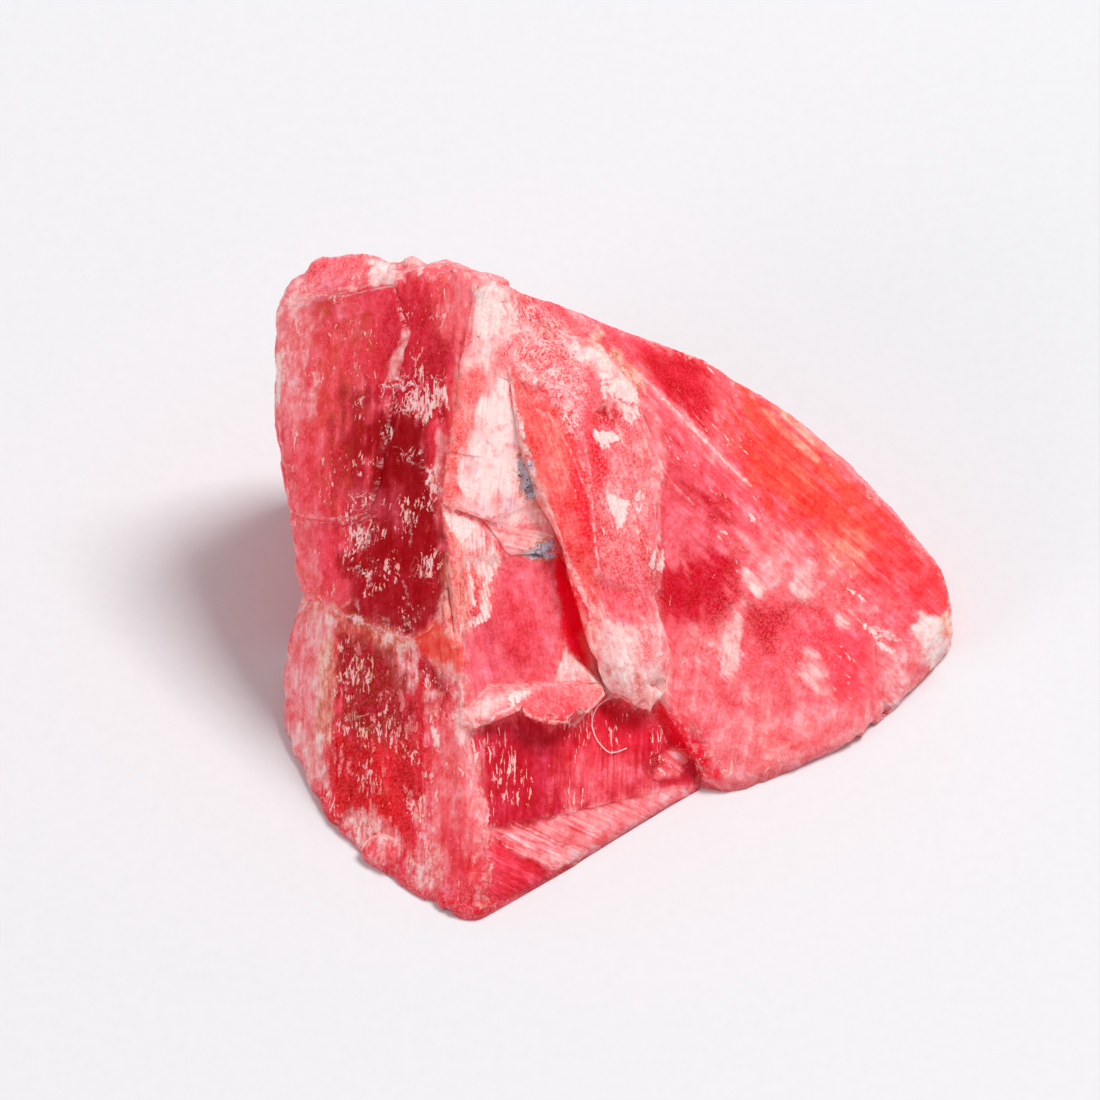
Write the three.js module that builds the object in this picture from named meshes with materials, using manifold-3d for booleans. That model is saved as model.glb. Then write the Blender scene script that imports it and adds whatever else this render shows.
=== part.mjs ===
// A rough piece of rhodonite, a little over 20 mm across, broken out along its cleavage planes.
// The stone is one solid: blocks with flat cleavage faces are joined, the edges are nicked,
// and the underside is cut to the flat face that the stone rests on.
import * as THREE from 'three';
import { ConvexGeometry } from 'three/addons/geometries/ConvexGeometry.js';
import { mergeVertices } from 'three/addons/utils/BufferGeometryUtils.js';
import Module from 'manifold-3d';

const wasm = await Module();
wasm.setup();

// Driving dimensions, in millimetres and degrees.
const frontTilt = 45;          // the front is drawn square on, leaning back by this angle
const cutDepth = 1.2;          // how far a block runs on below the resting face before it is cut
const cutMargin = 30;          // half the side of the block that is cut away underneath
const plateRise = 0.09;        // thickness of the thin plate left on the upper left face
const ledgeStep = 0.45;        // how far the upper left block stands proud of the lower one
const fingerRise = 0.85;       // how far the finger slab stands proud of the pale faces
const lipReach = 0.75;         // how far the lip overhangs the dark lower face
const sideStep = 0.55;         // how far the finger's right edge stands over the right face
const nickSeed = 20;           // start of the fixed series that places the nicks
const nickLength = [0.4, 1.2]; // shortest and longest side of a nick
const nickDepth = [0.02, 0.12]; // how far a nick goes in below the edge
const nickLean = 30;           // largest angle between a nick's floor and the edge's own slope
const nickReach = 3;           // how far a nick's box stands out of the stone, to clear the edge
const nickSpacing = 1.0;       // mean distance between nicks along an edge

// Rough rhodonite: raspberry red in the body, lighter where the cleavages part.
const stoneLook = { name: 'rhodonite', color: 0xd9455a, roughness: 0.45, metalness: 0 };

const tilt = THREE.MathUtils.degToRad(frontTilt);
const acrossAxis = new THREE.Vector3(1, 0, 0);
const upAxis = new THREE.Vector3(0, Math.sin(tilt), Math.cos(tilt));
const outAxis = new THREE.Vector3(0, -Math.cos(tilt), Math.sin(tilt));

// A corner of the front: to the right, up the leaning front, and out of it.
function front(across, up, out) {
  return new THREE.Vector3()
    .addScaledVector(acrossAxis, across)
    .addScaledVector(upAxis, up)
    .addScaledVector(outAxis, out);
}

// Where a face of the front reaches the resting face, with its twin further down.
function foot(across, up) {
  const top = new THREE.Vector3(across, up / Math.sin(tilt), 0);
  return [top, new THREE.Vector3(top.x, top.y, -cutDepth)];
}

// A corner of the back or the underside, in the stone's own frame.
function rear(x, y, z) {
  return new THREE.Vector3(x, y, z);
}

// A closed geometry as a solid for joining and cutting.
function solidOf(geometry) {
  const bare = geometry.clone();
  bare.deleteAttribute('normal');
  bare.deleteAttribute('uv');
  const merged = mergeVertices(bare, 1e-4);
  return new wasm.Manifold(new wasm.Mesh({
    numProp: 3,
    vertProperties: merged.attributes.position.array,
    triVerts: new Uint32Array(merged.index.array),
  }));
}

function geometryOf(solid) {
  const mesh = solid.getMesh();
  const geometry = new THREE.BufferGeometry();
  geometry.setAttribute('position', new THREE.BufferAttribute(mesh.vertProperties, 3));
  geometry.setIndex(new THREE.BufferAttribute(mesh.triVerts, 1));
  return geometry;
}

function block(corners) {
  return solidOf(new ConvexGeometry(corners.flat()));
}

// The big dark block of the upper left: a broad striated face between the ridge and the left edge.
const upperLeft = block([
  front(-3.72, 9.6, 8.9), front(-4.2, 9.95, 8.5), front(-5.04, 9.98, 7.85),
  front(-6.0, 9.69, 7.1), front(-7.14, 9.36, 6.25), front(-8.85, 9.09, 4.9),
  front(-9.69, 8.7, 4.3), front(-9.81, 5.7, 4.45), front(-9.45, 3.75, 4.9), front(-9.0, 0.2, 5.7),
  front(-7.9, -0.4, 6.95), front(-6.5, -1.0, 8.05), front(-5.7, -1.2, 8.65),
  front(-5.1, -0.9, 9.1), front(-4.6, -0.2, 9.4), front(-4.5, 1.5, 9.4), front(-4.3, 6.0, 9.1),
  rear(-8.9, 3.9, 8.2), rear(-8.6, 3.8, 2.5), rear(-4.6, 3.2, 11.2), rear(-3.2, 1.4, 12.2),
  rear(-2.5, 2.5, 3.0), rear(-3.5, -5.5, 3.5),
]);

// A thin plate left standing on that face. It ends at a pale sliver on its right and a break below.
const leftPlate = block([
  front(-8.7, 9.0, 5.15), front(-6.1, 9.5, 7.2), front(-5.75, 8.2, 7.7 + plateRise),
  front(-6.25, 6.5, 7.55 + plateRise), front(-6.85, 2.5, 7.5 + plateRise),
  front(-7.6, 2.35, 6.95 + plateRise), front(-9.2, 2.45, 5.6 + plateRise), front(-9.7, 5.6, 4.7),
  front(-9.6, 8.6, 4.45), front(-8.4, 7.0, 4.5), front(-7.0, 7.0, 5.5), front(-7.5, 3.5, 5.5),
]);

// The lower left block: a speckled face, a pale strip along its left and a foot at the very front.
const lowerLeft = block([
  front(-9.24, -0.78, 4.3), front(-9.42, -1.83, 3.95), front(-9.51, -3.6, 3.75),
  front(-7.95, -0.4, 6.95 - ledgeStep), front(-8.13, -3.36, 6.1), front(-8.2, -5.2, 5.95),
  front(-5.2, -0.4, 8.95 - ledgeStep), front(-5.5, -2.4, 8.65), front(-5.5, -6.6, 8.75),
  front(-4.1, -0.6, 9.45), front(-4.1, -3.6, 9.65),
  front(-3.6, -6.3, 9.75), front(-3.45, -8.0, 9.8), front(-3.72, -9.6, 9.68),
  foot(-9.35, -4.6), foot(-8.8, -5.4), foot(-8.4, -6.27), foot(-7.9, -7.05), foot(-7.26, -7.6),
  foot(-5.94, -8.67), foot(-5.2, -9.1), foot(-4.38, -9.57), foot(-3.72, -9.66),
  foot(-3.09, -8.97), foot(-0.5, -7.83),
  rear(-8.2, 2.8, 0), rear(-8.2, 2.8, -cutDepth), rear(-7.6, 1.5, 5.5), rear(-2, -4, 5),
  rear(0, 2, 0),
]);

// The dark lower face to the right of the ridge, set back under the lip and the right block.
const lowerFront = block([
  front(-3.9, -2.8, 9.3), front(-3.6, -6.3, 9.5), front(-3.4, -7.4, 9.4),
  front(1.5, -2.2, 6.35), front(3.4, -4.2, 5.45), front(-1.0, -6.6, 7.85), front(1.35, -5.7, 6.5),
  foot(2.4, -5.9), foot(3.06, -5.7), foot(3.6, -5.2),
  rear(3, -2, 3.5), rear(-2, -4, 5), rear(3, 0, 0), rear(-2, -10, 0),
]);
const coralToe = block([
  front(-3.55, -6.7, 9.5), front(-3.45, -8.0, 9.65), front(-2.4, -6.85, 8.75),
  front(-1.0, -6.45, 7.9), front(0.0, -6.15, 7.3), front(1.3, -5.5, 6.55), front(2.1, -5.4, 6.05),
  foot(-3.09, -9.0), foot(-2.0, -8.58), foot(-0.5, -7.83), foot(0.57, -7.14), foot(1.92, -6.33),
  foot(3.0, -5.72), foot(2.6, -5.0), rear(-2, -8, 1.0),
]);

// The pale faces right of the ridge, and the pink mottled face below them.
const paleFaces = block([
  front(-3.72, 9.5, 8.98), front(-3.33, 9.66, 8.65), front(-2.67, 9.3, 8.05),
  front(-3.72, 8.2, 9.1), front(-4.15, 7.2, 9.2), front(-4.4, 5.6, 9.3), front(-4.65, 4.0, 9.37),
  front(-4.77, 2.9, 9.42), front(-3.36, 2.35, 8.95), front(-1.6, 3.1, 8.0), front(-1.3, 6.6, 7.6),
  rear(-2.6, 1.6, 10.6), rear(-2, 0, 6), rear(-4, -3, 7.5), rear(-0.5, -3, 6.5),
]);
const striatedTriangle = block([
  front(-3.5, 2.45, 8.9), front(-1.35, 2.15, 7.95), front(-1.2, 1.35, 7.9), front(-2.75, 1.35, 8.6),
  front(-1.6, 3.0, 7.9), rear(-2, 0, 6), rear(-3, 0, 7), rear(-1, -1, 6),
]);
const pinkFace = block([
  front(-4.77, 2.9, 9.38), front(-4.45, 1.5, 9.5), front(-4.3, -0.6, 9.6), front(-4.1, -3.6, 9.75),
  front(-2.9, 1.6, 8.55), front(-1.35, 2.2, 7.7), front(-1.2, -0.6, 7.85), front(-1.3, -2.5, 7.95),
  front(-3.3, -3.0, 9.25),
  front(0.1, -2.7, 7.25),
  rear(-2, 0, 6), rear(-4, -3, 5), rear(-0.5, -3, 5.2), rear(-0.5, -7, 3.4), rear(-3.4, -8, 4.6),
]);

// The triangular cheek between the ledge of the upper block and the ridge.
const cheek = block([
  front(-5.64, -1.15, 8.35), front(-4.65, 0.2, 9.5), front(-4.08, -2.46, 9.72),
  front(-4.9, -1.9, 8.75), front(-4.0, -0.5, 7.5), front(-5.2, -0.5, 7.2),
]);

// The wavy lip that overhangs the dark lower face. It has a left and a right tongue.
const leftLip = block([
  front(-4.05, -3.3, 9.7), front(-3.33, -2.55, 9.35), front(-2.2, -2.55, 8.75),
  front(-4.2, -3.72, 9.7), front(-3.7, -3.84, 9.3 + lipReach), front(-3.09, -3.51, 9.1 + lipReach),
  front(-2.4, -3.3, 8.75 + lipReach),
  front(-4.0, -3.5, 8.6), front(-3.2, -3.0, 8.0), front(-2.2, -3.0, 7.4),
]);
const rightLip = block([
  front(-2.5, -2.75, 9.05), front(-1.8, -2.5, 8.6), front(-1.0, -2.45, 8.2),
  front(0.1, -2.45, 7.45),
  front(-2.25, -3.5, 8.7 + lipReach), front(-1.56, -3.75, 8.35 + lipReach),
  front(-1.0, -3.7, 8.0 + lipReach), front(-0.48, -3.57, 7.75 + lipReach), front(0.2, -2.85, 7.95),
  front(-2.2, -3.0, 7.5), front(0.1, -2.6, 6.2), front(-1.0, -3.2, 6.8),
]);

// The finger slab: narrow and proud, from the crumpled top down to a rounded end over the lip.
const fingerTop = block([
  front(-2.79, 6.96, 8.6), front(-2.55, 5.6, 7.95 + fingerRise * 0.75),
  front(-2.16, 4.14, 7.85 + fingerRise), front(-1.74, 3.09, 7.7 + fingerRise),
  front(-1.14, 1.53, 7.6 + fingerRise), front(-0.5, 0.1, 7.45 + fingerRise),
  front(-2.5, 7.75, 8.3), front(-0.3, 7.9, 6.9), front(0.75, 6.5, 6.9), front(1.2, 5.5, 6.75),
  front(-1.65, 6.0, 8.6), front(-0.75, 5.0, 8.55), front(-0.27, 3.1, 8.45), front(-0.1, 0.8, 8.4),
  front(1.32, 4.71, 6.55 + sideStep), front(1.68, 4.11, 6.35 + sideStep),
  front(1.65, 2.97, 6.4 + sideStep), front(1.64, 1.65, 6.45 + sideStep),
  front(1.72, 0.9, 6.5 + sideStep), front(1.64, 0.1, 6.5 + sideStep),
  rear(-2, 0, 7), rear(1.4, 0.5, 5.5), rear(0, -4, 4.5),
]);
const fingerEnd = block([
  front(-1.14, 1.53, 7.55 + fingerRise), front(-0.45, 0.0, 7.45 + fingerRise),
  front(-0.36, -1.0, 7.35 + fingerRise), front(-0.2, -1.83, 7.2 + fingerRise),
  front(0.05, -2.45, 7.75), front(0.4, -2.95, 7.6), front(1.0, -3.2, 7.45),
  front(1.56, -3.39, 7.1), front(1.98, -2.7, 6.95),
  front(2.1, -1.7, 6.6 + sideStep), front(1.92, -0.75, 6.55 + sideStep),
  front(1.62, 0.12, 6.5 + sideStep), front(0.4, -0.6, 8.25), front(0.6, -2.0, 8.1),
  front(0.5, -2.2, 5.5), front(1.5, -2.0, 5.4), front(0.5, 0.5, 5.5),
]);

// The white triangle at the foot of the cleft between the pink face and the finger.
const cleftFoot = block([
  front(-1.14, -1.4, 7.75), front(-1.35, -2.5, 8.1), front(0.05, -2.55, 7.9), front(-0.6, -2.0, 7.95),
  front(-1.0, -2.4, 7.0), front(-0.1, -2.45, 6.8),
]);

// The right block: one broad face that slopes down to the blunt right end.
const right = block([
  front(-3.33, 9.5, 8.2), front(-2.67, 9.3, 7.95), front(-1.02, 8.73, 6.7), front(0, 8.37, 5.95),
  front(1.23, 7.92, 5.05), front(2.55, 7.44, 4.1), front(3.3, 7.17, 3.5), front(3.99, 6.66, 3.1),
  front(0.95, 6.9, 5.95), front(1.3, 5.0, 6.45), front(1.66, 1.5, 6.45), front(1.9, -0.8, 6.45),
  front(1.71, -2.85, 6.85), front(4.4, 3.5, 4.45), front(4.5, 1.4, 5.0),
  front(2.5, -3.75, 6.6), front(3.33, -4.35, 6.35),
  front(3.3, -5.55, 6.0), front(4.1, -5.73, 5.85), foot(4.68, -5.67), foot(6.18, -4.86),
  front(6.18, -4.7, 5.3), front(7.74, -4.0, 4.6), foot(7.74, -4.23), foot(8.58, -3.63),
  foot(9.39, -2.46), front(8.3, -1.2, 4.0),
  rear(3.6, 4.4, 5.2), rear(-2.4, 3.4, 9.6), rear(3.0, 5.4, 0), rear(8.0, 3.2, 0), rear(8.4, 2.4, 2.6),
  rear(-3.0, 4.4, 0), rear(-3.0, 4.4, -cutDepth), rear(3.0, 5.4, -cutDepth), rear(8.0, 3.2, -cutDepth),
  rear(3, -4, 3), rear(2.4, -6.2, 2.0),
]);

// The orange-red end of the right block, a slightly prouder slab along the top edge.
const rightEnd = block([
  front(3.99, 6.66, 3.15), front(4.7, 5.95, 3.1), front(4.83, 5.95, 2.9), front(5.1, 5.9, 2.75),
  front(5.61, 5.76, 2.55), front(6.57, 4.71, 2.5), front(7.71, 3.72, 2.45), front(8.61, 2.88, 2.5),
  front(9.48, 1.89, 2.6), front(10.35, 0.87, 2.8), front(10.6, 0.0, 2.7), front(10.68, -0.9, 2.1),
  front(10.68, -1.2, 1.7), front(9.9, -1.9, 2.6), front(8.3, -1.2, 4.05), front(4.6, 3.9, 4.3),
  front(4.5, 1.4, 5.03),
  foot(10.5, -1.35), foot(9.84, -2.04), foot(9.39, -2.46), foot(8.58, -3.63),
  rear(5.5, 3.6, 4.0), rear(8.4, 2.4, 2.4), rear(10.0, 0.4, 0), rear(10.0, 0.4, -cutDepth),
  rear(8.2, 3.0, 0), rear(8.2, 3.0, -cutDepth), rear(5, 0, 0), rear(5, -3, 1),
]);

// The paler shelf behind the top edge of the upper left block, with a small knob beside it.
const crest = block([
  front(-9.69, 8.9, 4.2), front(-9.39, 9.5, 4.1), front(-8.94, 9.75, 4.3), front(-8.73, 10.15, 4.2),
  front(-7.74, 10.46, 4.5), front(-6.99, 10.46, 5.0), front(-6.33, 10.2, 5.7),
  front(-6.6, 9.5, 6.5), front(-8.6, 9.0, 5.0), front(-9.75, 8.3, 4.25), front(-9.6, 7.6, 4.3),
  rear(-9.0, 5.0, 6.5), rear(-6.2, 5.2, 8.0), rear(-8.4, 5.4, 3.0), rear(-5.5, 4.6, 7.0),
]);
const saddle = block([
  front(-6.5, 10.1, 5.6), front(-6.0, 10.08, 6.0), front(-5.2, 10.0, 6.6), front(-4.6, 9.9, 7.2),
  front(-6.2, 9.6, 6.8), front(-4.8, 9.7, 7.7), rear(-6.2, 4.8, 8.2), rear(-4.2, 3.4, 9.6),
  rear(-5.0, 2.0, 8.0), rear(-2.9, 2.2, 11.5), rear(-2.5, 3.4, 9.8), rear(-3.6, 0.9, 12.5),
]);
const knob = block([
  front(-5.97, 10.15, 6.2), front(-5.82, 10.3, 6.2), front(-5.6, 10.36, 6.3), front(-5.38, 10.25, 6.5),
  front(-5.28, 10.05, 6.6), front(-5.6, 10.0, 6.95), rear(-5.8, 2.9, 10.0), rear(-5.2, 2.7, 10.2),
]);

// A small bump on the outline, to the left of the front foot.
const footBump = block([
  front(-7.26, -7.25, 7.9), front(-6.5, -6.95, 8.3), front(-5.9, -7.3, 8.6), front(-5.85, -8.1, 8.5),
  front(-6.4, -7.9, 8.5), front(-7.2, -7.75, 7.9), front(-6.5, -7.2, 7.2), foot(-6.6, -7.9),
]);

// The back: a steep slab on the left, a lower shelf behind the middle, and a wedge to the right.
const backSlab = block([
  rear(-9.0, 5.0, 6.4), rear(-9.1, 4.4, 1.2), rear(-8.4, 3.0, 0), rear(-8.4, 3.0, -cutDepth),
  rear(-3.8, 5.6, 6.2), rear(-3.4, 5.6, 0), rear(-3.4, 5.6, -cutDepth), rear(-4.4, 4.4, 9.0),
  rear(-1.8, 3.0, 9.4), rear(-1.2, 4.9, 3.0), rear(-8.0, 4.8, -cutDepth), rear(-2, 0, 0),
  rear(-2, 0, -cutDepth), rear(-8.2, 3.0, 8.0),
]);
const backShelf = block([
  rear(-1.9, 5.1, 4.3), rear(-2.7, 5.5, 0), rear(-2.7, 5.5, -cutDepth), rear(-0.4, 5.9, 1.2),
  rear(-0.2, 6.0, 0), rear(-0.2, 6.0, -cutDepth), rear(3.6, 5.5, 0), rear(3.6, 5.5, -cutDepth),
  rear(3.2, 4.9, 3.2), rear(0.6, 4.3, 6.2), rear(-1.8, 4.3, 6.4),
  rear(0, 0, 0), rear(0, 0, -cutDepth), rear(3, 1, 0), rear(3, 1, -cutDepth),
]);

// The middle of the stone, under all the faces.
const heart = block([
  front(-4.2, 8.6, 7.9), front(-7.6, 7.6, 4.9), front(-7.6, 1.6, 5.9), front(-4.6, -1.5, 8.3),
  front(-4.0, -7.6, 8.0), front(-0.5, -6.3, 6.9), front(2.6, -4.4, 5.0), front(0.2, 7.2, 5.2),
  front(3.0, 6.0, 3.2), front(1.2, 0.0, 6.0), front(6.5, 0.0, 3.4), front(6.3, -4.0, 4.0),
  rear(-8.0, 2.6, 0.2), rear(-2.5, 5.4, 0.2), rear(2.6, 5.0, 0.2), rear(7.6, 2.6, 0.2),
  rear(-7.6, 4.0, 6.0),
  rear(-4.5, -6.5, -cutDepth), rear(-1.5, -9.0, -cutDepth), rear(4.0, -3.5, -cutDepth),
  rear(-6.5, 0, -cutDepth), rear(6.5, 0.5, -cutDepth), rear(0, 4.5, -cutDepth),
]);

const stone = [
  heart, leftPlate, lowerLeft, lowerFront, coralToe, paleFaces, striatedTriangle, pinkFace, cheek,
  leftLip, rightLip, fingerTop, fingerEnd, cleftFoot, right, rightEnd, crest, saddle, knob, footBump,
  backSlab, backShelf,
].reduce((whole, piece) => whole.add(piece), upperLeft);

// A fixed series of numbers from 0 to 1, the same on every run.
let seriesState = nickSeed;
function nextNumber() {
  seriesState = (seriesState + 0x6d2b79f5) | 0;
  let mixed = Math.imul(seriesState ^ (seriesState >>> 15), 1 | seriesState);
  mixed = (mixed + Math.imul(mixed ^ (mixed >>> 7), 61 | mixed)) ^ mixed;
  return ((mixed ^ (mixed >>> 14)) >>> 0) / 4294967296;
}

function between(low, high) {
  return low + (high - low) * nextNumber();
}

// A flat chip off an edge: a leaning box whose floor lies a little below the edge.
function nick(centre, outward, size) {
  const lean = () => THREE.MathUtils.degToRad(between(-nickLean, nickLean));
  const box = new THREE.BoxGeometry(
    size * between(nickLength[0], nickLength[1]),
    size * between(nickLength[0], nickLength[1]),
    nickReach,
  );
  box.translate(0, 0, nickReach / 2 - size * between(nickDepth[0], nickDepth[1]));
  box.rotateZ(between(0, Math.PI)).rotateX(lean()).rotateY(lean());
  box.applyQuaternion(new THREE.Quaternion().setFromUnitVectors(
    new THREE.Vector3(0, 0, 1),
    outward.clone().normalize(),
  ));
  return solidOf(box.translate(centre.x, centre.y, centre.z));
}

// Nicks spaced unevenly along an edge, given by its corners.
function nicksAlong(corners, outward, size = 1) {
  const edge = new THREE.CurvePath();
  for (let i = 1; i < corners.length; i++) edge.add(new THREE.LineCurve3(corners[i - 1], corners[i]));
  const length = edge.getLength();
  const nicks = [];
  for (let s = between(0, nickSpacing); s < length; s += nickSpacing * between(0.4, 1.6)) {
    nicks.push(nick(edge.getPointAt(s / length), outward, size));
  }
  return nicks;
}

const leftward = front(-0.8, 0, 0.6);
const lowLeft = front(-0.7, -0.6, 0.3);
const lowRight = front(0.4, -0.7, 0.5);
const forward = front(0, -0.3, 0.95);
const upward = front(0, 0.9, 0.3);
const rightward = front(0.75, -0.2, 0.6);
const backward = rear(0, 0.8, 0.6);
const nicks = [
  // the ridge between the left face and the pale faces
  nicksAlong([front(-3.72, 9.5, 8.98), front(-4.15, 7.2, 9.2), front(-4.77, 2.9, 9.42)], leftward, 0.5),
  nicksAlong([front(-4.77, 2.9, 9.42), front(-4.45, 1.5, 9.5), front(-4.1, -3.6, 9.75)], forward, 0.5),
  nicksAlong([front(-4.1, -3.6, 9.75), front(-3.6, -6.3, 9.75), front(-3.5, -9, 9.7)], forward, 0.5),
  // the ledge under the upper left block, and its left edge
  nicksAlong([front(-9.0, 0.2, 5.7), front(-7.9, -0.4, 6.95), front(-5.7, -1.2, 8.65)], leftward, 0.7),
  nicksAlong([front(-9.7, 8.6, 4.4), front(-9.81, 5.7, 4.45), front(-9.0, 0.2, 5.7)], leftward, 0.55),
  nicksAlong([front(-9.3, -0.9, 4.3), front(-9.5, -3.6, 3.8), front(-8.4, -6.2, 6.1)], leftward, 0.5),
  nicksAlong([front(-8.4, -6.2, 6.1), front(-6.0, -8.5, 8.5), front(-3.7, -9.6, 9.6)], lowLeft, 0.4),
  // the top edges
  nicksAlong([front(-9.4, 9.5, 4.1), front(-7.7, 10.46, 4.5), front(-6.3, 10.2, 5.7)], upward, 0.6),
  nicksAlong([front(-8.8, 9.1, 4.95), front(-6.0, 9.7, 7.1), front(-3.8, 9.8, 8.8)], upward, 0.5),
  nicksAlong([front(-5.0, 10, 7.8), front(-3.3, 9.6, 8.5), front(0, 8.37, 5.95)], upward, 0.6),
  nicksAlong([front(0, 8.37, 5.95), front(3.3, 7.17, 3.5), front(5.6, 5.76, 2.6)], upward, 0.5),
  nicksAlong([front(5.6, 5.76, 2.6), front(8.6, 2.88, 2.5), front(10.35, 0.87, 2.8)], upward, 0.45),
  nicksAlong([front(10.35, 0.87, 2.8), front(10.68, -0.9, 2.1), front(9.6, -2.3, 2.5)], rightward, 0.45),
  nicksAlong([front(9.4, -2.5, 2.6), front(6.2, -4.8, 5.0), front(4.1, -5.7, 5.8)], lowRight, 0.35),
  // the finger, the lip and the edges over the lower face
  nicksAlong([front(-2.79, 6.96, 8.6), front(-1.74, 3.1, 8.55), front(-0.5, 0.1, 8.3)], leftward, 0.15),
  nicksAlong([front(1.3, 4.7, 7.1), front(1.65, 1.6, 7.0), front(2.1, -1.7, 7.1)], rightward, 0.5),
  nicksAlong([front(0.4, -2.95, 7.6), front(1.56, -3.4, 7.1), front(2.0, -2.6, 7.0)], forward, 0.6),
  nicksAlong([front(-4.2, -3.7, 9.9), front(-3.1, -3.5, 9.8), front(-2.4, -3.3, 9.5)], forward, 0.45),
  nicksAlong([front(-2.3, -3.5, 9.4), front(-1.0, -3.7, 8.7), front(0.2, -2.9, 7.9)], forward, 0.5),
  nicksAlong([front(1.71, -2.9, 6.85), front(3.3, -4.3, 6.35), front(3.3, -5.5, 6.0)], forward, 0.7),
  // the crumpled top of the finger
  nicksAlong([front(-2.6, 7.9, 8.2), front(-1.2, 7.9, 7.4), front(-0.2, 7.7, 6.9)], forward, 0.55),
  nicksAlong([front(-2.6, 7.4, 8.4), front(-1.2, 7.3, 7.8), front(0.2, 7.2, 6.9)], forward, 0.55),
  nicksAlong([front(-2.5, 6.9, 8.6), front(-1.0, 6.8, 8.0), front(0.5, 6.7, 6.9)], forward, 0.6),
  nicksAlong([front(-2.3, 6.4, 8.6), front(-1.0, 6.3, 8.2), front(0.6, 6.2, 7.0)], forward, 0.55),
  nicksAlong([front(-1.9, 5.9, 8.6), front(-0.8, 5.8, 8.4), front(0.8, 5.6, 7.1)], forward, 0.55),
  // the edges of the back
  nicksAlong([rear(-9.0, 5.0, 6.4), rear(-4.4, 4.4, 9.0), rear(-1.8, 3.0, 9.4)], backward, 2),
  nicksAlong([rear(-9.1, 4.6, 1.2), rear(-9.0, 5.0, 6.4), rear(-8.4, 5.2, 7)], backward, 2),
  nicksAlong([rear(-2.0, 5.0, 6.0), rear(3.0, 5.0, 3.4), rear(3.4, 5.4, 0.2)], backward, 2),
  nicksAlong([rear(5.5, 3.6, 4.0), rear(8.4, 2.5, 2.4), rear(10.0, 0.5, 0.4)], backward, 2),
].flat();
const nicked = nicks.reduce((whole, bite) => whole.subtract(bite), stone);

const underside = solidOf(new THREE.BoxGeometry(cutMargin * 2, cutMargin * 2, cutDepth * 4)
  .translate(0, 0, -cutDepth * 2));

// The joined blocks can trap a crumb or a sealed gap: only the outer skin of the largest body is kept.
const rested = nicked.subtract(underside).decompose().sort((a, b) => b.volume() - a.volume())[0];

const rhodonite = new THREE.Mesh(geometryOf(rested), new THREE.MeshStandardMaterial(stoneLook));
rhodonite.name = 'stone';
rhodonite.geometry.computeBoundingBox();
const middle = rhodonite.geometry.boundingBox.getCenter(new THREE.Vector3());
rhodonite.position.set(-middle.x, -middle.y, 0);

const part = new THREE.Group();
part.add(rhodonite);
export default part;
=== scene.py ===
import math

import bpy
import numpy as np
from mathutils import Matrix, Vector, noise
from mathutils.bvhtree import BVHTree
from mathutils.kdtree import KDTree


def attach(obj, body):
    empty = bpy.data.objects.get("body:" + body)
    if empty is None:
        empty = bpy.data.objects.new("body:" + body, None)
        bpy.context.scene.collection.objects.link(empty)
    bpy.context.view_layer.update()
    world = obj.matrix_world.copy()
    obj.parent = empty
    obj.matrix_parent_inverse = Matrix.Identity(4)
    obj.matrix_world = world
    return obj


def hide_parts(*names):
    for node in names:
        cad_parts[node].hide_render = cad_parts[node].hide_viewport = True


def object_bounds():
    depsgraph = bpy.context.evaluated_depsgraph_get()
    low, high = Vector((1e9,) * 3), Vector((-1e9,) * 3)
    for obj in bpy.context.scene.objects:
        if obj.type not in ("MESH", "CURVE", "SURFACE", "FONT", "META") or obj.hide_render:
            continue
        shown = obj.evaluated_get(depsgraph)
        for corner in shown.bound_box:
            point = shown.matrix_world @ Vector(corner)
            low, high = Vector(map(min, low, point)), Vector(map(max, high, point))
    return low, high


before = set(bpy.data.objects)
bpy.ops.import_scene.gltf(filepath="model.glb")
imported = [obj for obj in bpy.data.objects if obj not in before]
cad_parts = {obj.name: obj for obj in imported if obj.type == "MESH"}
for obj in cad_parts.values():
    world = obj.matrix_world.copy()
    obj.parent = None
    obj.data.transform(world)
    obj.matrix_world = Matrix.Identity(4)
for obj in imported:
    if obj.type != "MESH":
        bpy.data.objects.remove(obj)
cadLow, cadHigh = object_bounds()
print("stage: frame loaded")

millimetre = 0.001
floorTouch = 1e-4  # mm above the floor that still counts as the underside

# The front leans back by this angle. Marks are placed on it in mm: across, up, and out of it.
front = {"tilt": math.radians(45), "shift": np.array([-0.443, 3.831, 0.0])}
acrossAxis = np.array([1.0, 0.0, 0.0])
upAxis = np.array([0.0, math.sin(front["tilt"]), math.cos(front["tilt"])])
outAxis = np.array([0.0, -math.cos(front["tilt"]), math.sin(front["tilt"])])


def rgb(red, green, blue):
    # a screen colour, 0 to 255, as the linear light that Blender mixes
    return tuple(c / 12.92 if c <= 0.04045 else ((c + 0.055) / 1.055) ** 2.4
                 for c in (red / 255, green / 255, blue / 255))


def marked(text):
    # each mark: its words and numbers, then its points, across,up in mm
    found = []
    for word in text.split():
        if "," in word:
            found[-1][-1].append(tuple(float(n) for n in word.split(",")))
        elif not found or found[-1][-1]:
            found.append([word, []])
        else:
            found[-1].insert(-1, word if word[0].isalpha() else float(word))
    return found


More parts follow.
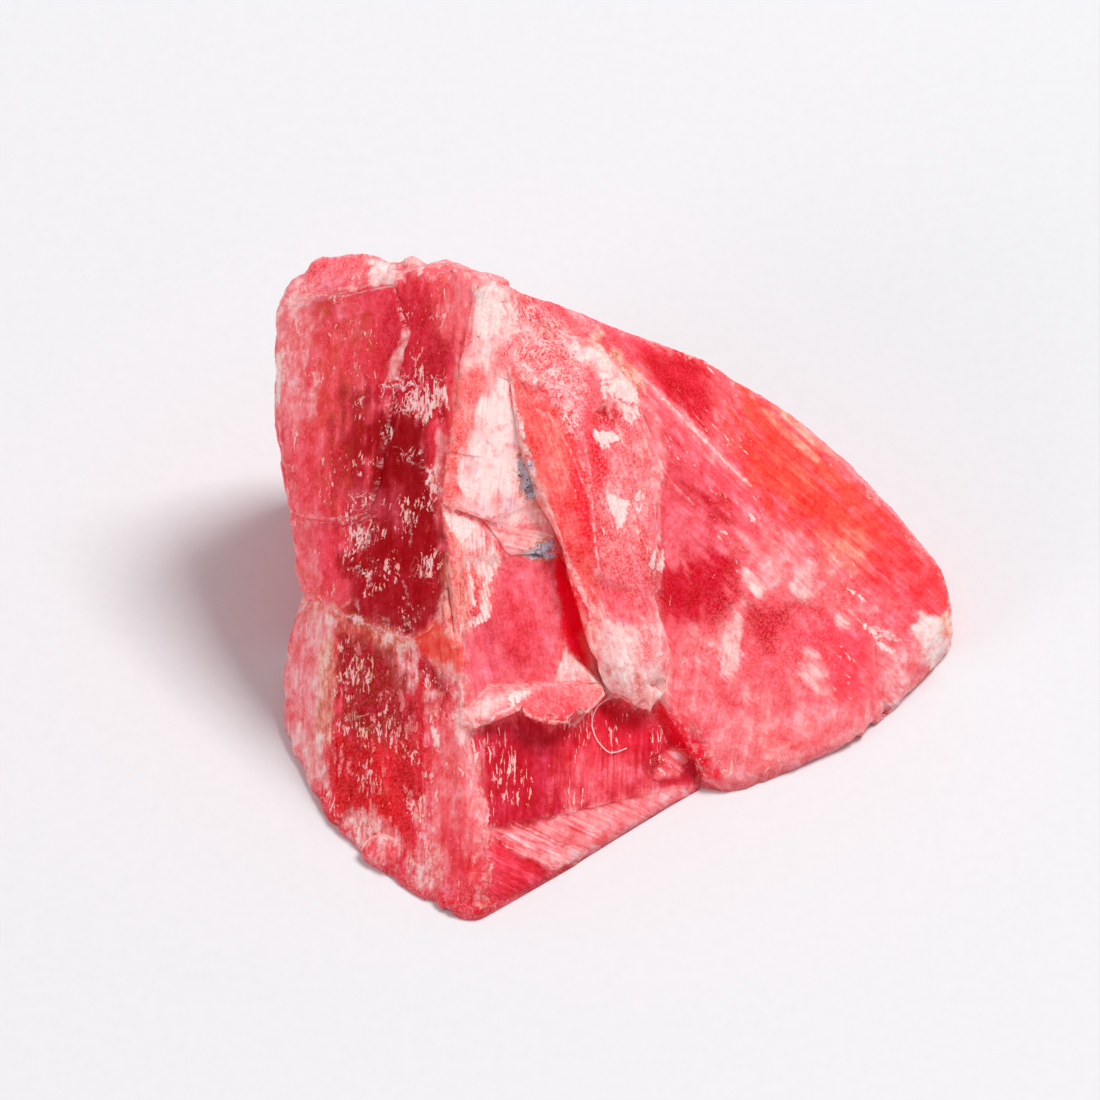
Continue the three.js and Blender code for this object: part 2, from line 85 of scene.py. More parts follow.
# The stone's own tones, from the glassy depths to the frosted breaks
tones = {
    "deepMaroon": rgb(160, 4, 14),
    "maroon": rgb(176, 10, 24),
    "darkCrimson": rgb(210, 10, 36),
    "darkRed": rgb(204, 30, 50),
    "blood": rgb(228, 10, 24),
    "crimson": rgb(228, 34, 54),
    "raspberry": rgb(238, 58, 76),
    "scarlet": rgb(255, 10, 44),
    "scarletRose": rgb(255, 68, 84),
    "mauveDark": rgb(222, 70, 88),
    "mauve": rgb(240, 94, 108),
    "rose": rgb(248, 92, 104),
    "rosePink": rgb(252, 110, 116),
    "coral": rgb(255, 92, 90),
    "redOrange": rgb(255, 70, 56),
    "salmonRed": rgb(252, 88, 74),
    "salmon": rgb(250, 150, 132),
    "salmonPink": rgb(255, 130, 122),
    "peach": rgb(252, 186, 160),
    "peachMilk": rgb(255, 214, 206),
    "pinkMilk": rgb(255, 142, 146),
    "blush": rgb(255, 168, 166),
    "pale": rgb(255, 202, 198),
    "milk": rgb(255, 230, 226),
    "violet": rgb(206, 160, 206),
    "rust": rgb(196, 104, 52),
    "steel": rgb(132, 134, 144),
    "ice": rgb(206, 212, 228),
    "ink": rgb(46, 26, 26),
}

# Washes of tone, laid one over another: name, tone, amount, feather in mm, outline
# The dark crimson wash in the undercut below the lip and the finger's end is painted shade.
# The full scarlet in the cleft left of the finger is the stone's red pushed bright as a painted glow of light
# through the stone.
# The pale, milk and peach washes on the right tip are partly painted glow of light passing through the thin
# tip.
# The peach wash along the right end's upper rim is a painted highlight.
# The red-orange wash over the right end is the stone's red with a painted orange glow of light passing
# through its thin edge.
washes = marked("""
crestWash rose 1 0.3 -9.75,8.1 -9.75,8.88 -9.39,9.57 -8.94,9.84 -8.73,10.26 -7.74,10.59 -6.99,10.59
  -6.33,10.32 -6,10.23 -5.67,10.44 -5.25,10.14 -5.61,9.81 -6.54,9.48 -7.14,9.3 -8.85,9.03 -9.48,8.04
crestPale blush 0.6 0.24 -6.66,10.32 -6,10.2 -6,9.84 -6.24,9.48 -6.78,9.54 -6.9,10.02
crestLeft blush 0.6 0.42 -9.66,9 -9.3,9.57 -8.82,9.6 -9,9 -9.48,8.25
upperRose rose 1 0.78 -9.9,9 -9,9.12 -7.14,9.3 -6.84,8.1 -7.26,6 -7.5,2.4 -7.8,-0.6 -9.12,-0.15 -9.45,3
  -9.96,5.4
upperCrimson crimson 0.8 0.66 -9,8.4 -7.5,8.7 -7.2,6.6 -8.1,4.8 -9,5.4
upperCrimson2 darkRed 0.55 0.42 -8.82,9 -7.8,9.12 -7.68,8.1 -8.64,8.1
upperCrimson3 crimson 0.7 0.42 -9.3,2.4 -7.62,2.4 -7.68,0.3 -8.88,0.24
upperGlow coral 0.6 0.78 -9,8.1 -7.5,7.8 -7.68,6 -8.1,3.9 -8.64,5.1
upperRed raspberry 1 0.42 -7.14,9.3 -6,9.66 -5.04,9.9 -3.78,9.6 -3.72,8.13 -4.14,7.17 -4.29,6.03 -4.65,5.4
  -6,5.85 -7.44,5.7
upperLight rosePink 0.95 0.24 -5.1,9.45 -3.78,9.45 -3.78,7.92 -4.14,7.44 -4.53,7.65 -4.98,8.1
upperDusk maroon 0.65 0.42 -7.86,6 -6.6,6.3 -6.84,2.4 -7.86,2.28
upperDusk2 darkCrimson 0.8 0.3 -6.24,9.36 -5.1,9.48 -4.86,8.1 -4.92,6 -6.12,5.88 -6.48,7.5
maroonFace deepMaroon 1 0.42 -6.72,5.64 -6.24,5.88 -5.76,5.61 -5.25,5.82 -4.92,5.46 -4.8,4.8 -4.77,2.85
  -4.44,1.56 -4.59,-0.33 -5.16,-1.02 -5.64,-1.23 -6.54,-1.08 -7.44,-0.51 -7.56,0.6 -7.5,2.4 -7.2,3.96
maroonLower maroon 0.8 0.48 -7.44,2.1 -4.68,2.4 -4.62,1.2 -4.8,0 -5.64,-1.08 -6.6,-0.9 -7.5,-0.36
maroonUpper darkRed 0.8 0.27 -6.84,6.12 -6,6.6 -4.8,7.8 -4.5,7.8 -4.44,5.64 -5.25,5.52 -6.24,5.7
leftEdgeLow raspberry 0.9 0.48 -9.21,2.4 -7.56,2.4 -7.62,-0.54 -9,-0.12 -9,1.5
upperMaroonLeft maroon 0.7 0.54 -7.5,5.1 -6.84,5.1 -6.96,2.4 -7.62,2.4
lowerStrip pinkMilk 1 0.12 -8.97,-0.21 -7.95,-0.36 -7.92,-1.83 -8.13,-3.36 -8.34,-4.47 -8.16,-5.43
  -8.79,-5.52 -9.42,-4.71 -9.6,-3.6 -9.51,-1.83 -9.3,-0.78
stripCore pinkMilk 0.6 0.36 -9.36,-1.5 -8.64,-1.2 -8.76,-3.6 -8.46,-5.1 -9,-5.1 -9.42,-3.6
lowerFace crimson 1 0.15 -7.92,-0.39 -6.87,-0.84 -5.64,-1.23 -4.56,-2.7 -4.44,-4.2 -4.8,-6 -4.98,-8.4
  -5.94,-8.67 -6.48,-8.04 -7.26,-7.35 -7.89,-7.05 -8.4,-6.33 -8.19,-5.43 -8.34,-4.47 -8.13,-3.36 -7.92,-1.83
lowerMaroon maroon 0.95 0.42 -7.92,-0.6 -6.06,-1.5 -5.64,-2.7 -5.76,-4.2 -6.6,-4.56 -7.65,-4.2 -8.04,-3
lowerBlood blood 1 0.42 -8.25,-4.2 -6.15,-4.2 -5.16,-4.2 -4.86,-5.4 -5.55,-6.18 -5.88,-7.14 -7.14,-7.08
  -7.95,-6.66 -8.22,-5.7
darkSliver maroon 0.9 0.12 -5.49,-1.41 -4.53,-2.16 -4.5,-3 -4.98,-2.82 -5.28,-2.04
ridgeZone rosePink 1 0.3 -5.04,-3.6 -4.44,-3 -4.11,-3.66 -3.87,-4.56 -3.54,-6 -3.45,-7.5 -3.39,-8.4
  -3.9,-8.64 -4.92,-8.4 -5.28,-7.2 -5.4,-5.4
ridgeBlood blood 0.6 0.24 -5.52,-4.35 -4.8,-4.56 -4.86,-5.55 -5.34,-5.7
ridgeBlood2 crimson 0.6 0.3 -4.62,-6.84 -3.84,-6.99 -3.78,-8.34 -4.44,-8.46 -4.74,-7.5
footRose raspberry 0.9 0.24 -6.48,-8.04 -5.76,-7.5 -4.8,-8.64 -3.42,-8.4 -3,-8.91 -3.48,-9.33 -3.72,-9.72
  -4.38,-9.63 -5.4,-9.03 -6,-8.7
tipRose raspberry 0.5 0.24 -5.4,-8.88 -4.14,-8.4 -3.06,-8.58 -3.66,-9.72 -4.44,-9.54
bumpPale rosePink 0.9 0.12 -7.32,-6.87 -6.84,-6.78 -6.24,-6.96 -5.79,-7.2 -5.88,-7.74 -6.66,-7.98 -7.26,-7.8
cheekCoral salmonRed 1 0.045 -5.64,-1.23 -5.04,-0.6 -4.59,-0.18 -4.08,-0.75 -4.08,-2.46 -4.92,-1.92
fibrousStrip salmonPink 0.9 0.12 -4.77,2.85 -3.9,2.4 -3.36,2.28 -3.09,1.2 -3.3,-0.36 -3.9,-0.78 -4.08,-1.2
  -4.92,-0.48 -4.5,0.3 -4.35,1.5
fibrousPale pale 0.8 0.12 -3.96,2.34 -3.36,2.28 -3.06,1.02 -3.42,0.66 -3.72,0.78 -4.02,1.2
fibrousCore salmon 0.5 0.18 -4.59,1.2 -4.14,1.2 -4.14,-0.54 -4.65,-0.3
paleBand blush 1 0.12 -3.78,9.45 -3.33,9.63 -2.85,9.39 -2.43,9.21 -2.61,8.1 -3,7.5 -2.79,6.96 -2.49,5.4
  -2.16,4.14 -1.74,3.09 -1.38,2.34 -1.38,2.07 -2.4,2.19 -3.57,2.37 -4.26,2.58 -4.77,2.85 -4.44,4.5
  -4.29,6.03 -4.14,7.17 -3.84,7.8
ridgeCoral coral 0.8 0.15 -4.41,6.15 -4.08,6.51 -4.05,4.35 -4.29,3.9 -4.41,3 -4.62,2.64 -4.74,3.09
  -4.59,4.05 -4.47,5.25
pinkStrip coral 0.75 0.09 -4.26,6.45 -3.9,7.02 -3.48,6.96 -3.54,6.06 -3.84,4.8 -4.08,4.35 -4.11,3.3 -4.59,3
  -4.44,4.35
milkFace milk 1 0.12 -3.51,6.06 -2.79,6.84 -2.49,5.4 -2.22,4.14 -2.43,3.6 -2.49,3 -3.6,3 -4.11,3.48
  -4.02,4.35 -3.78,4.8
milkFaceTop milk 0.7 0.15 -3.6,9.24 -3,9.36 -2.82,8.7 -3.06,7.5 -3.42,6.84 -3.72,7.2 -3.66,8.4
milkFoot milk 0.7 0.18 -3.9,2.64 -2.4,2.22 -1.35,2.04 -1.44,2.28 -2.4,3 -3.6,3
mauveTint violet 0.35 0.18 -3.24,3 -2.4,2.91 -2.52,2.64 -3.3,2.7
striatedPink blush 1 0.06 -3.36,2.31 -1.35,2.07 -1.23,1.56 -1.95,1.32 -2.73,1.35
pinkFaceWash mauve 1 0.12 -2.73,1.35 -1.32,1.29 -1.14,0 -1.14,-0.96 -1.29,-2.43 -2.01,-2.55 -2.97,-2.52
  -3.33,-2.58 -4.02,-3.36 -4.11,-1.2 -3.3,-0.36 -3.09,0.9
pinkFaceMauve raspberry 0.6 0.48 -3.36,0 -2.4,0.3 -1.65,-1.2 -2.4,-2.04 -3.3,-1.5
pinkFaceDark mauveDark 0.85 0.36 -3.6,-0.36 -2.85,-0.54 -3,-1.5 -3.51,-1.44
pinkFaceDark2 mauveDark 0.7 0.3 -3,-1.5 -2.1,-1.56 -2.28,-2.1 -3,-2.04
pinkFaceTop mauve 0.5 0.3 -2.28,1.2 -1.32,1.2 -1.2,0 -1.8,0.3
redCleft scarlet 1 0.03 -1.38,1.5 -1.14,1.5 -0.6,0.27 -0.36,-0.3 -0.33,-1.26 -0.21,-1.83 0.06,-2.49
  -0.63,-1.98 -1.05,-1.41 -1.17,-0.96 -1.23,0.09
redCleftDeep blood 0.1 0.15 -1.14,0.6 -0.6,0 -0.42,-1.2 -0.84,-1.44 -1.11,-0.6
whiteTriangle pale 1 0.024 -1.14,-1.41 -1.29,-2.43 0.09,-2.55 -0.6,-2.01
lipWash rosePink 1 0.09 -4.2,-3.48 -3.33,-2.52 -2.97,-2.49 -2.04,-2.52 -1.29,-2.43 0.06,-2.49 0.18,-2.91
  -0.3,-3.36 -0.75,-3.93 -1.23,-3.84 -1.8,-3.69 -2.49,-3.36 -3.09,-3.51 -3.66,-3.93 -4.14,-3.9
lipRose raspberry 0.6 0.15 -2.1,-2.82 -1.32,-2.64 -0.66,-3.12 -1.2,-3.54 -1.8,-3.36
lipPale pale 0.85 0.12 -4.17,-3.72 -4.02,-3.18 -3,-2.76 -1.98,-2.64 -2.64,-2.88 -3.36,-3.48
fingerLeft coral 1 0.09 -2.79,6.96 -2.4,6.84 -1.65,6 -0.9,5.4 -0.63,4.65 -0.3,3.72 -0.24,3.09 -0.15,1.77
  -0.06,0.81 0.12,-0.6 -0.18,-1.2 -0.36,-0.3 -0.6,0.27 -1.14,1.53 -1.38,2.34 -1.74,3.09 -2.16,4.14 -2.49,5.4
fingerDeep scarlet 0.45 0.24 -1.05,4.5 -0.3,3.6 -0.24,1.2 -0.66,1.2 -1.2,3
fingerLight salmonPink 0.5 0.24 -2.1,6 -1.44,5.4 -0.9,3.9 -1.2,3.3 -1.95,4.8
fingerMid rosePink 0.9 0.12 -0.9,6.15 0.36,6.6 1.2,5.4 1.68,4.11 1.62,2.97 1.62,1.65 1.71,0.96 1.62,0.12
  1.92,-0.75 1.2,-1.2 0.12,-0.75 -0.06,0.81 -0.15,1.77 -0.24,3.09 -0.3,3.72 -0.63,4.65
fingerRed darkCrimson 0.95 0.18 -0.3,6 0.48,5.94 0.66,5.28 0.18,5.1 -0.24,5.28
fingerRed2 scarlet 1 0.15 -0.36,4.62 0,4.8 0.3,4.44 0.33,3.66 -0.06,3.6 -0.3,3.96
fingerRed3 crimson 0.75 0.3 0,1.08 1.44,1.2 1.5,0.12 0.36,-0.18
fingerRed4 crimson 0.5 0.18 -0.06,2.4 0.36,2.4 0.36,1.95 0,1.95
fingerEndWash pale 1 0.15 -0.42,0 0.12,-0.3 1.2,-1.02 1.71,0 2.04,-1.2 2.13,-2.28 2.01,-2.76 1.65,-3.36
  1.2,-3.18 0.18,-2.85 -0.3,-1.86
fingerEndPink rose 0.6 0.15 1.02,0 1.68,0.12 1.92,-1.2 1.56,-2.52 1.2,-1.92 1.26,-0.9
fingerRedA rose 0.9 0.18 -0.06,0.75 1.2,0.96 1.2,0 0.84,-0.84 0.12,-0.54
fingerEndWarm blush 0.6 0.3 0.12,-2.04 1.5,-2.16 1.8,-3 0.3,-2.82
fingerEndMilk milk 1 0.15 -0.24,-0.84 0.54,-0.96 1.02,-1.44 0.9,-2.7 0.24,-2.7 -0.18,-1.8
crumple rosePink 1 0.24 -3,8.1 -2.4,8.4 -1.02,8.34 0.15,7.65 0,6.84 -0.6,6 -1.8,6.12 -2.64,6.96
crumpleRed crimson 0.6 0.3 -2.55,7.65 -0.9,7.8 -0.6,6.45 -1.8,6.24
topWash rosePink 0.9 0.24 -2.43,9.21 -1.02,8.73 0,8.37 0.36,7.8 -0.3,7.65 -1.8,8.1 -2.55,8.46
topRose crimson 0.6 0.24 -2.46,8.64 -1.44,8.76 -1.32,8.22 -1.98,8.1
topPeach peach 0.6 0.12 -0.42,8.1 0.09,8.1 0.09,7.44 -0.42,7.5
shoulderPale peachMilk 0.85 0.15 -0.9,7.62 -0.3,7.56 0.36,7.2 1.02,6.48 1.26,5.88 0.96,5.64 0.36,6.12
  -0.24,7.02
rightWash rose 1 0.3 1.2,6.15 0,8.37 1.23,7.98 2.55,7.5 3.3,7.23 4.05,6.66 4.98,5.94 5.25,5.97 5.7,5.76
  7.71,3.78 8.61,2.94 10.44,0.96 10.74,0.15 10.74,-1.2 10.44,-1.68 9.51,-2.19 8.7,-3.33 7.92,-4.08 6.9,-4.71
  5.85,-5.22 4.68,-5.73 4.11,-5.79 3.3,-5.61 3.36,-4.35 2.7,-3.93 2.07,-3.48 1.74,-3.36 2.04,-2.7 2.13,-1.8
  1.65,0.12 1.65,3
rightUpperRose crimson 0.85 0.42 0.18,8.25 2.7,7.44 4.05,6.6 4.98,5.85 4.32,3.6 3.27,4.59 1.8,6.15 0.6,7.2
rightUpperCrimson darkCrimson 0.95 0.24 1.56,7.65 2.58,7.44 3.24,7.02 3.39,4.74 2.7,5.52 1.92,6.36 1.5,7.14
rightUpperLight rosePink 0.75 0.3 3.42,7.02 4.26,6.36 4.35,5.1 4.05,4.35 3.42,4.8
rightMauve mauve 0.85 0.48 1.2,6.15 3,4.65 4.14,3.3 4.35,1.5 3,1.2 1.8,1.2 1.74,3.9
rightMauveDark darkCrimson 0.6 0.27 1.2,5.55 1.95,5.25 2.28,4.44 1.65,4.44
spotA darkCrimson 0.75 0.18 2.46,3.66 3,3.54 3.06,3.12 2.58,3.18
spotB darkCrimson 0.75 0.24 3.24,3.18 3.81,3 3.81,2.22 3.36,2.34
warmEnd redOrange 0.9 0.66 4.56,6 5.7,5.7 7.71,3.66 10.35,0.84 10.68,-0.36 9.36,-0.18 7.5,1.2 5.4,2.4
  4.5,3.6
warmEndDeep redOrange 0.7 0.66 4.95,4.5 6.6,3.9 8.1,2.4 7.8,0.9 6,2.4 4.8,3.3
warmRim peach 0.55 0.24 5.28,5.91 5.7,5.7 6.9,4.5 6.54,4.44 5.7,5.25
endRed scarletRose 0.7 0.6 8.4,1.8 10.35,0.75 10.5,-0.36 9.3,-0.6 8.4,0.3
pinkBand pinkMilk 0.65 0.54 4.26,1.8 6,1.95 7.5,0.9 8.4,-0.3 7.5,-1.2 5.7,0 4.35,0
darkWell darkCrimson 1 0.21 1.65,1.14 3,1.02 3.18,-0.66 2.4,-0.84 1.74,-0.54
darkWell2 darkCrimson 1 0.36 2.7,1.32 3.96,1.32 4.2,0.3 3.72,-0.66 2.88,-0.6
darkWell3 darkCrimson 0.95 0.36 4.38,0 5.88,-0.06 6,-1.08 5.16,-1.5 4.5,-1.2
redLow scarletRose 1 0.3 5.64,-0.6 8.04,-0.78 8.22,-2.52 7.38,-3.24 6.66,-2.7 5.88,-2.28 5.4,-1.44
lowPink pinkMilk 0.45 0.42 2.16,-0.6 3.36,-1.02 3.9,-2.4 4.56,-3.6 4.26,-5.1 3.45,-4.35 2.4,-3.6 2.04,-2.7
lowMid rosePink 0.5 0.42 4.05,-2.1 6,-2.7 6.45,-4.5 4.8,-5.4 4.2,-4.5
glowA milk 0.8 0.18 4.38,0.9 4.74,0.78 4.8,0.18 4.5,0.06
glowB milk 0.7 0.21 5.73,0.75 6.33,0.75 6.39,0.21 5.85,0.15
glowC milk 1 0.09 7.2,-0.51 7.47,-0.54 7.47,-0.81 7.23,-0.84
glowD pale 0.6 0.36 6,-1.86 6.72,-1.8 6.87,-2.52 6.18,-2.64
glowE pinkMilk 0.8 0.36 4.44,1.56 5.64,1.56 5.76,0.66 4.56,0.6
glowF pale 0.6 0.24 2.94,-1.2 3.54,-1.26 3.48,-1.92 3.09,-1.86
glowG pale 0.6 0.21 4.56,-2.7 4.92,-2.76 4.86,-3.12 4.56,-3.06
lowCoral coral 0.8 0.24 4.68,-4.05 5.85,-4.05 5.7,-5.04 4.56,-5.28
lowRimPale pinkMilk 0.45 0.27 2.82,-4.14 3.48,-3.78 4.8,-3.54 6,-3.48 7.5,-3.18 8.7,-2.58 9.18,-3.12
  7.92,-4.2 6.18,-5.04 4.68,-5.82 3.24,-5.64
rightPinkEnd pinkMilk 0.7 0.42 8.28,-1.2 9.6,-1.2 9.45,-2.4 8.55,-3.6 7.86,-4.05 8.16,-2.7
tipPeach pale 1 0.09 9.6,-0.36 10.14,-0.6 10.71,-0.36 10.8,-1.26 10.38,-1.8 9.78,-2.16 9.51,-1.5
paleWedge pale 0.85 0.18 4.38,0.24 4.14,-0.12 3.81,-1.02 3.57,-1.86 3.72,-2.28 3.96,-1.8 4.23,-0.9
lowerFrontWash darkRed 1 0.12 -4.11,-3.84 -3.66,-3.9 -2.85,-3.51 -1.8,-3.69 -0.75,-3.9 0.15,-2.94 1.56,-3.42
  2.85,-4.29 3.36,-4.5 3.12,-5.58 1.8,-5.7 -0.06,-6.18 -1.02,-6.42 -2.46,-6.78 -3.51,-6.84 -3.6,-5.7
  -3.9,-4.5
lowerFrontLight rose 0.75 0.42 -1.2,-4.35 0.18,-4.05 1.02,-4.35 1.44,-5.1 1.2,-5.7 -0.84,-6.36 -1.44,-5.85
lowerFrontBlood darkRed 0.7 0.36 -3.9,-4.05 -1.2,-3.84 -1.2,-5.1 -2.1,-6 -3.3,-6.45 -3.66,-5.4
undercut scarlet 0.95 0.15 1.65,-3 2.7,-3.93 3.36,-4.44 3.48,-5.25 2.52,-4.68 1.65,-3.78
notchDark maroon 0.7 0.24 1.2,-4.05 1.86,-4.2 1.8,-5.25 1.2,-4.95
coralToe pinkMilk 0.9 0.12 -3.51,-6.84 -2.46,-6.78 -1.02,-6.42 -0.06,-6.18 1.8,-5.7 3.15,-5.58 1.92,-6.36
  0.57,-7.17 -0.51,-7.86 -1.35,-8.16 -3.45,-7.08
toeCrimson raspberry 0.85 0.24 -3.42,-7.14 -1.65,-8.04 -1.14,-8.1 -2.01,-8.61 -2.91,-9 -3.42,-8.7
toeEnd rosePink 0.6 0.3 0.9,-5.85 3,-5.52 1.92,-6.36 0.3,-7.14
stripeFan rosePink 0.85 0.06 1.98,-4.41 2.73,-4.62 2.34,-5.37 1.56,-5.34
leafWash blush 0.85 0.048 -5.73,8.19 -5.64,8.01 -5.82,7.32 -6.09,6.84 -6.27,6.48 -6.33,6.66 -6.06,7.44
maroonEdgePink raspberry 0.7 0.15 -5.04,5.28 -4.53,5.1 -4.59,4.05 -4.77,2.85 -5.04,3 -5.16,4.2
maroonEdgePale blush 0.5 0.09 -4.8,5.1 -4.56,4.8 -4.68,3.6 -4.86,3 -4.92,3.9
breakLeft mauveDark 0.55 0.27 -7.8,3.48 -5.94,3.24 -5.88,2.28 -7.68,2.28
vein1Glow pinkMilk 0.7 0.09 0.9,7.08 1.56,6.54 2.7,5.4 4.08,4.02 4.5,3.48 4.26,3.48 3.36,4.32 2.4,5.28
  1.44,6.36 0.9,6.78
tipCore milk 1 0.09 9.78,-0.66 10.32,-0.54 10.5,-1.2 10.08,-1.8 9.66,-1.8
ledgeGold salmon 0.6 0.15 -9.06,0 -8.4,-0.06 -7.44,-0.36 -6.6,-0.9 -5.58,-1.2 -5.7,-1.62 -6.48,-1.5
  -7.5,-1.02 -8.52,-0.66 -9.06,-0.66
ledgeMilkA blush 0.8 0.12 -9,-0.18 -8.16,-0.18 -8.04,-0.66 -8.52,-0.96 -9,-0.66
crumpleLow scarletRose 0.7 0.18 -1.56,7.44 -0.3,6.84 -0.12,6 -0.6,4.8 -1.02,5.1 -1.56,6.24
crumpleHigh pale 0.7 0.15 -2.94,9.24 -2.4,9.18 -2.34,8.22 -2.82,7.92 -3.06,8.46
undercutDark darkCrimson 0.85 0.18 0.18,-3.18 1.5,-3.48 1.68,-4.26 0.6,-4.32 0.18,-3.9
leftEdgePale pinkMilk 0.85 0.3 -9.84,9 -8.58,9 -8.52,7.5 -8.7,5.1 -9.84,4.8
leftEdgePale2 pinkMilk 0.5 0.18 -9.48,4.2 -9,3.9 -9,3 -9.3,3
leftEdgePale3 pinkMilk 0.35 0.18 -9.18,2.85 -8.4,2.85 -8.4,-0.12 -9.06,-0.12
duskLeft maroon 0.8 0.27 -7.74,6.48 -6.72,6.48 -6.78,3.9 -7.8,3.72
duskLow maroon 0.8 0.18 -7.68,1.32 -6.96,1.32 -6.72,-0.96 -7.62,-0.6
ridgeDark maroon 0.9 0.09 -5.28,1.44 -4.8,1.44 -4.86,0 -5.16,-0.9 -5.46,-0.96
ridgeTopPale blush 0.8 0.18 -4.68,-2.04 -4.08,-2.16 -3.72,-3.48 -3.9,-4.26 -4.44,-3.9
veinGold blush 0.5 0.18 -6.48,-1.26 -5.58,-1.38 -5.46,-2.76 -6.18,-2.7
chipPale blush 0.55 0.12 -5.34,-2.64 -4.68,-2.7 -4.74,-3.48 -5.22,-3.54
stripEdge peach 0.55 0.09 -8.4,-1.08 -7.92,-1.02 -7.98,-3.36 -8.34,-4.5 -8.52,-4.8
stripFoot blush 0.8 0.18 -9,-3.9 -8.34,-4.08 -8.22,-5.46 -8.82,-5.52
bumpPale2 blush 0.6 0.12 -7.74,-6.36 -6.84,-6.24 -6,-7.14 -6.6,-7.38 -7.44,-7.08
footPale blush 0.6 0.18 -6,-7.68 -4.92,-7.56 -4.68,-8.58 -5.7,-8.7
footBlood crimson 0.7 0.18 -4.32,-6.78 -3.66,-6.84 -3.6,-8.04 -4.26,-8.1
fingerSeam crimson 0.65 0.15 -0.6,5.16 0,5.1 0.09,3 -0.18,1.2 -0.42,3.6
fingerRim pinkMilk 0.8 0.12 1.2,6.48 1.56,6 1.92,4.5 1.98,3.24 1.56,3.3 1.38,4.8
warmGlow salmon 0.55 0.36 6.36,2.52 7.68,1.8 7.5,1.02 6.6,1.32
midRose crimson 0.5 0.3 6.36,0.9 7.38,1.02 7.5,-0.18 6.54,-0.18
topDeep raspberry 0.6 0.18 -2.82,9.3 -1.2,8.82 -1.32,7.98 -2.58,8.46
maroonDrop deepMaroon 0.8 0.24 -6.66,5.16 -5.4,5.16 -5.28,3.9 -6.72,3.9
tipAmber peach 0.9 0.09 10.2,-0.42 10.71,-0.36 10.77,-1.02 10.32,-1.02
tipFoot pinkMilk 0.9 0.15 9.15,-1.2 9.6,-1.2 9.78,-2.16 9.36,-3 8.88,-3.48 8.7,-2.7
underLipRose crimson 0.7 0.24 -1.2,-3.72 0.18,-3.12 1.92,-3.66 2.04,-4.56 0,-4.8 -1.2,-4.35
bloodDark maroon 0.45 0.21 -7.92,-4.56 -6.96,-4.38 -6.84,-6 -7.44,-6.48 -7.86,-5.7
bloodDark2 darkCrimson 0.6 0.21 -6.24,-4.5 -5.28,-4.32 -5.22,-6 -5.94,-6.24
ridgeDusk crimson 0.25 0.18 -4.8,-6 -4.02,-5.88 -3.72,-7.5 -4.44,-7.86
fibrousRed crimson 0.9 0.045 -3.69,0.72 -3.51,0.66 -3.6,0.24 -3.57,-0.06 -3.66,-0.36 -3.81,-0.45 -3.78,0
fingerRed5 scarlet 0.7 0.15 -0.24,5.28 0.48,5.28 0.54,4.68 0.18,4.44 -0.24,4.62
fingerRed6 scarlet 0.6 0.12 -1.02,5.7 -0.72,5.1 -0.42,3.66 -0.3,1.8 -0.54,1.56 -0.78,3 -1.08,4.8
warmVein peach 0.8 0.09 0.12,7.53 0.39,7.44 1.2,6.66 1.23,6.36 0.78,6.48 0.18,7.14
crestMilk milk 0.75 0.09 -6.84,10.11 -6.42,10.14 -6.06,9.84 -6.06,9.54 -6.48,9.45 -6.78,9.54
crestMilk2 pale 0.75 0.09 -6.03,10.26 -5.4,10.32 -5.28,9.96 -5.88,9.9
crestMilk3 pale 0.5 0.18 -9.48,9 -8.94,9.12 -8.82,8.88 -9.24,8.52 -9.54,8.58
ridgeLight pinkMilk 0.6 0.24 -4.56,-4.2 -3.78,-4.44 -3.54,-6 -3.48,-7.5 -3.9,-7.5 -4.32,-6
pinkFaceDeep crimson 0.5 0.24 -2.85,-0.36 -1.92,-0.12 -1.8,-1.5 -2.64,-1.86
wellEdge darkCrimson 0.6 0.18 3.84,1.2 4.26,1.02 4.32,0 3.9,-0.18
upLeftDeep crimson 0.5 0.36 -9,4.8 -7.65,4.8 -7.65,2.4 -9,3
lowDarkDeep maroon 0.6 0.24 -7.5,-1.2 -6,-1.56 -5.76,-3 -6,-4.14 -7.44,-4.14 -7.8,-2.7
rimRose raspberry 0.25 0.24 2.7,-1.8 3.9,-2.7 4.35,-4.2 3.6,-4.8 3,-3.6
fingerEndCoral salmonPink 0.6 0.12 -0.45,-0.12 0,-0.36 0.09,-1.2 -0.09,-2.04 0.12,-3 -0.3,-2.82 -0.54,-1.5
fingerEndRose rose 0.5 0.12 0.9,-1.08 1.2,-1.2 1.44,-2.04 1.2,-2.7 0.96,-1.92
fingerEndRose2 salmonPink 0.5 0.09 0.12,-2.28 0.72,-2.4 0.78,-2.82 0.24,-2.76
""")
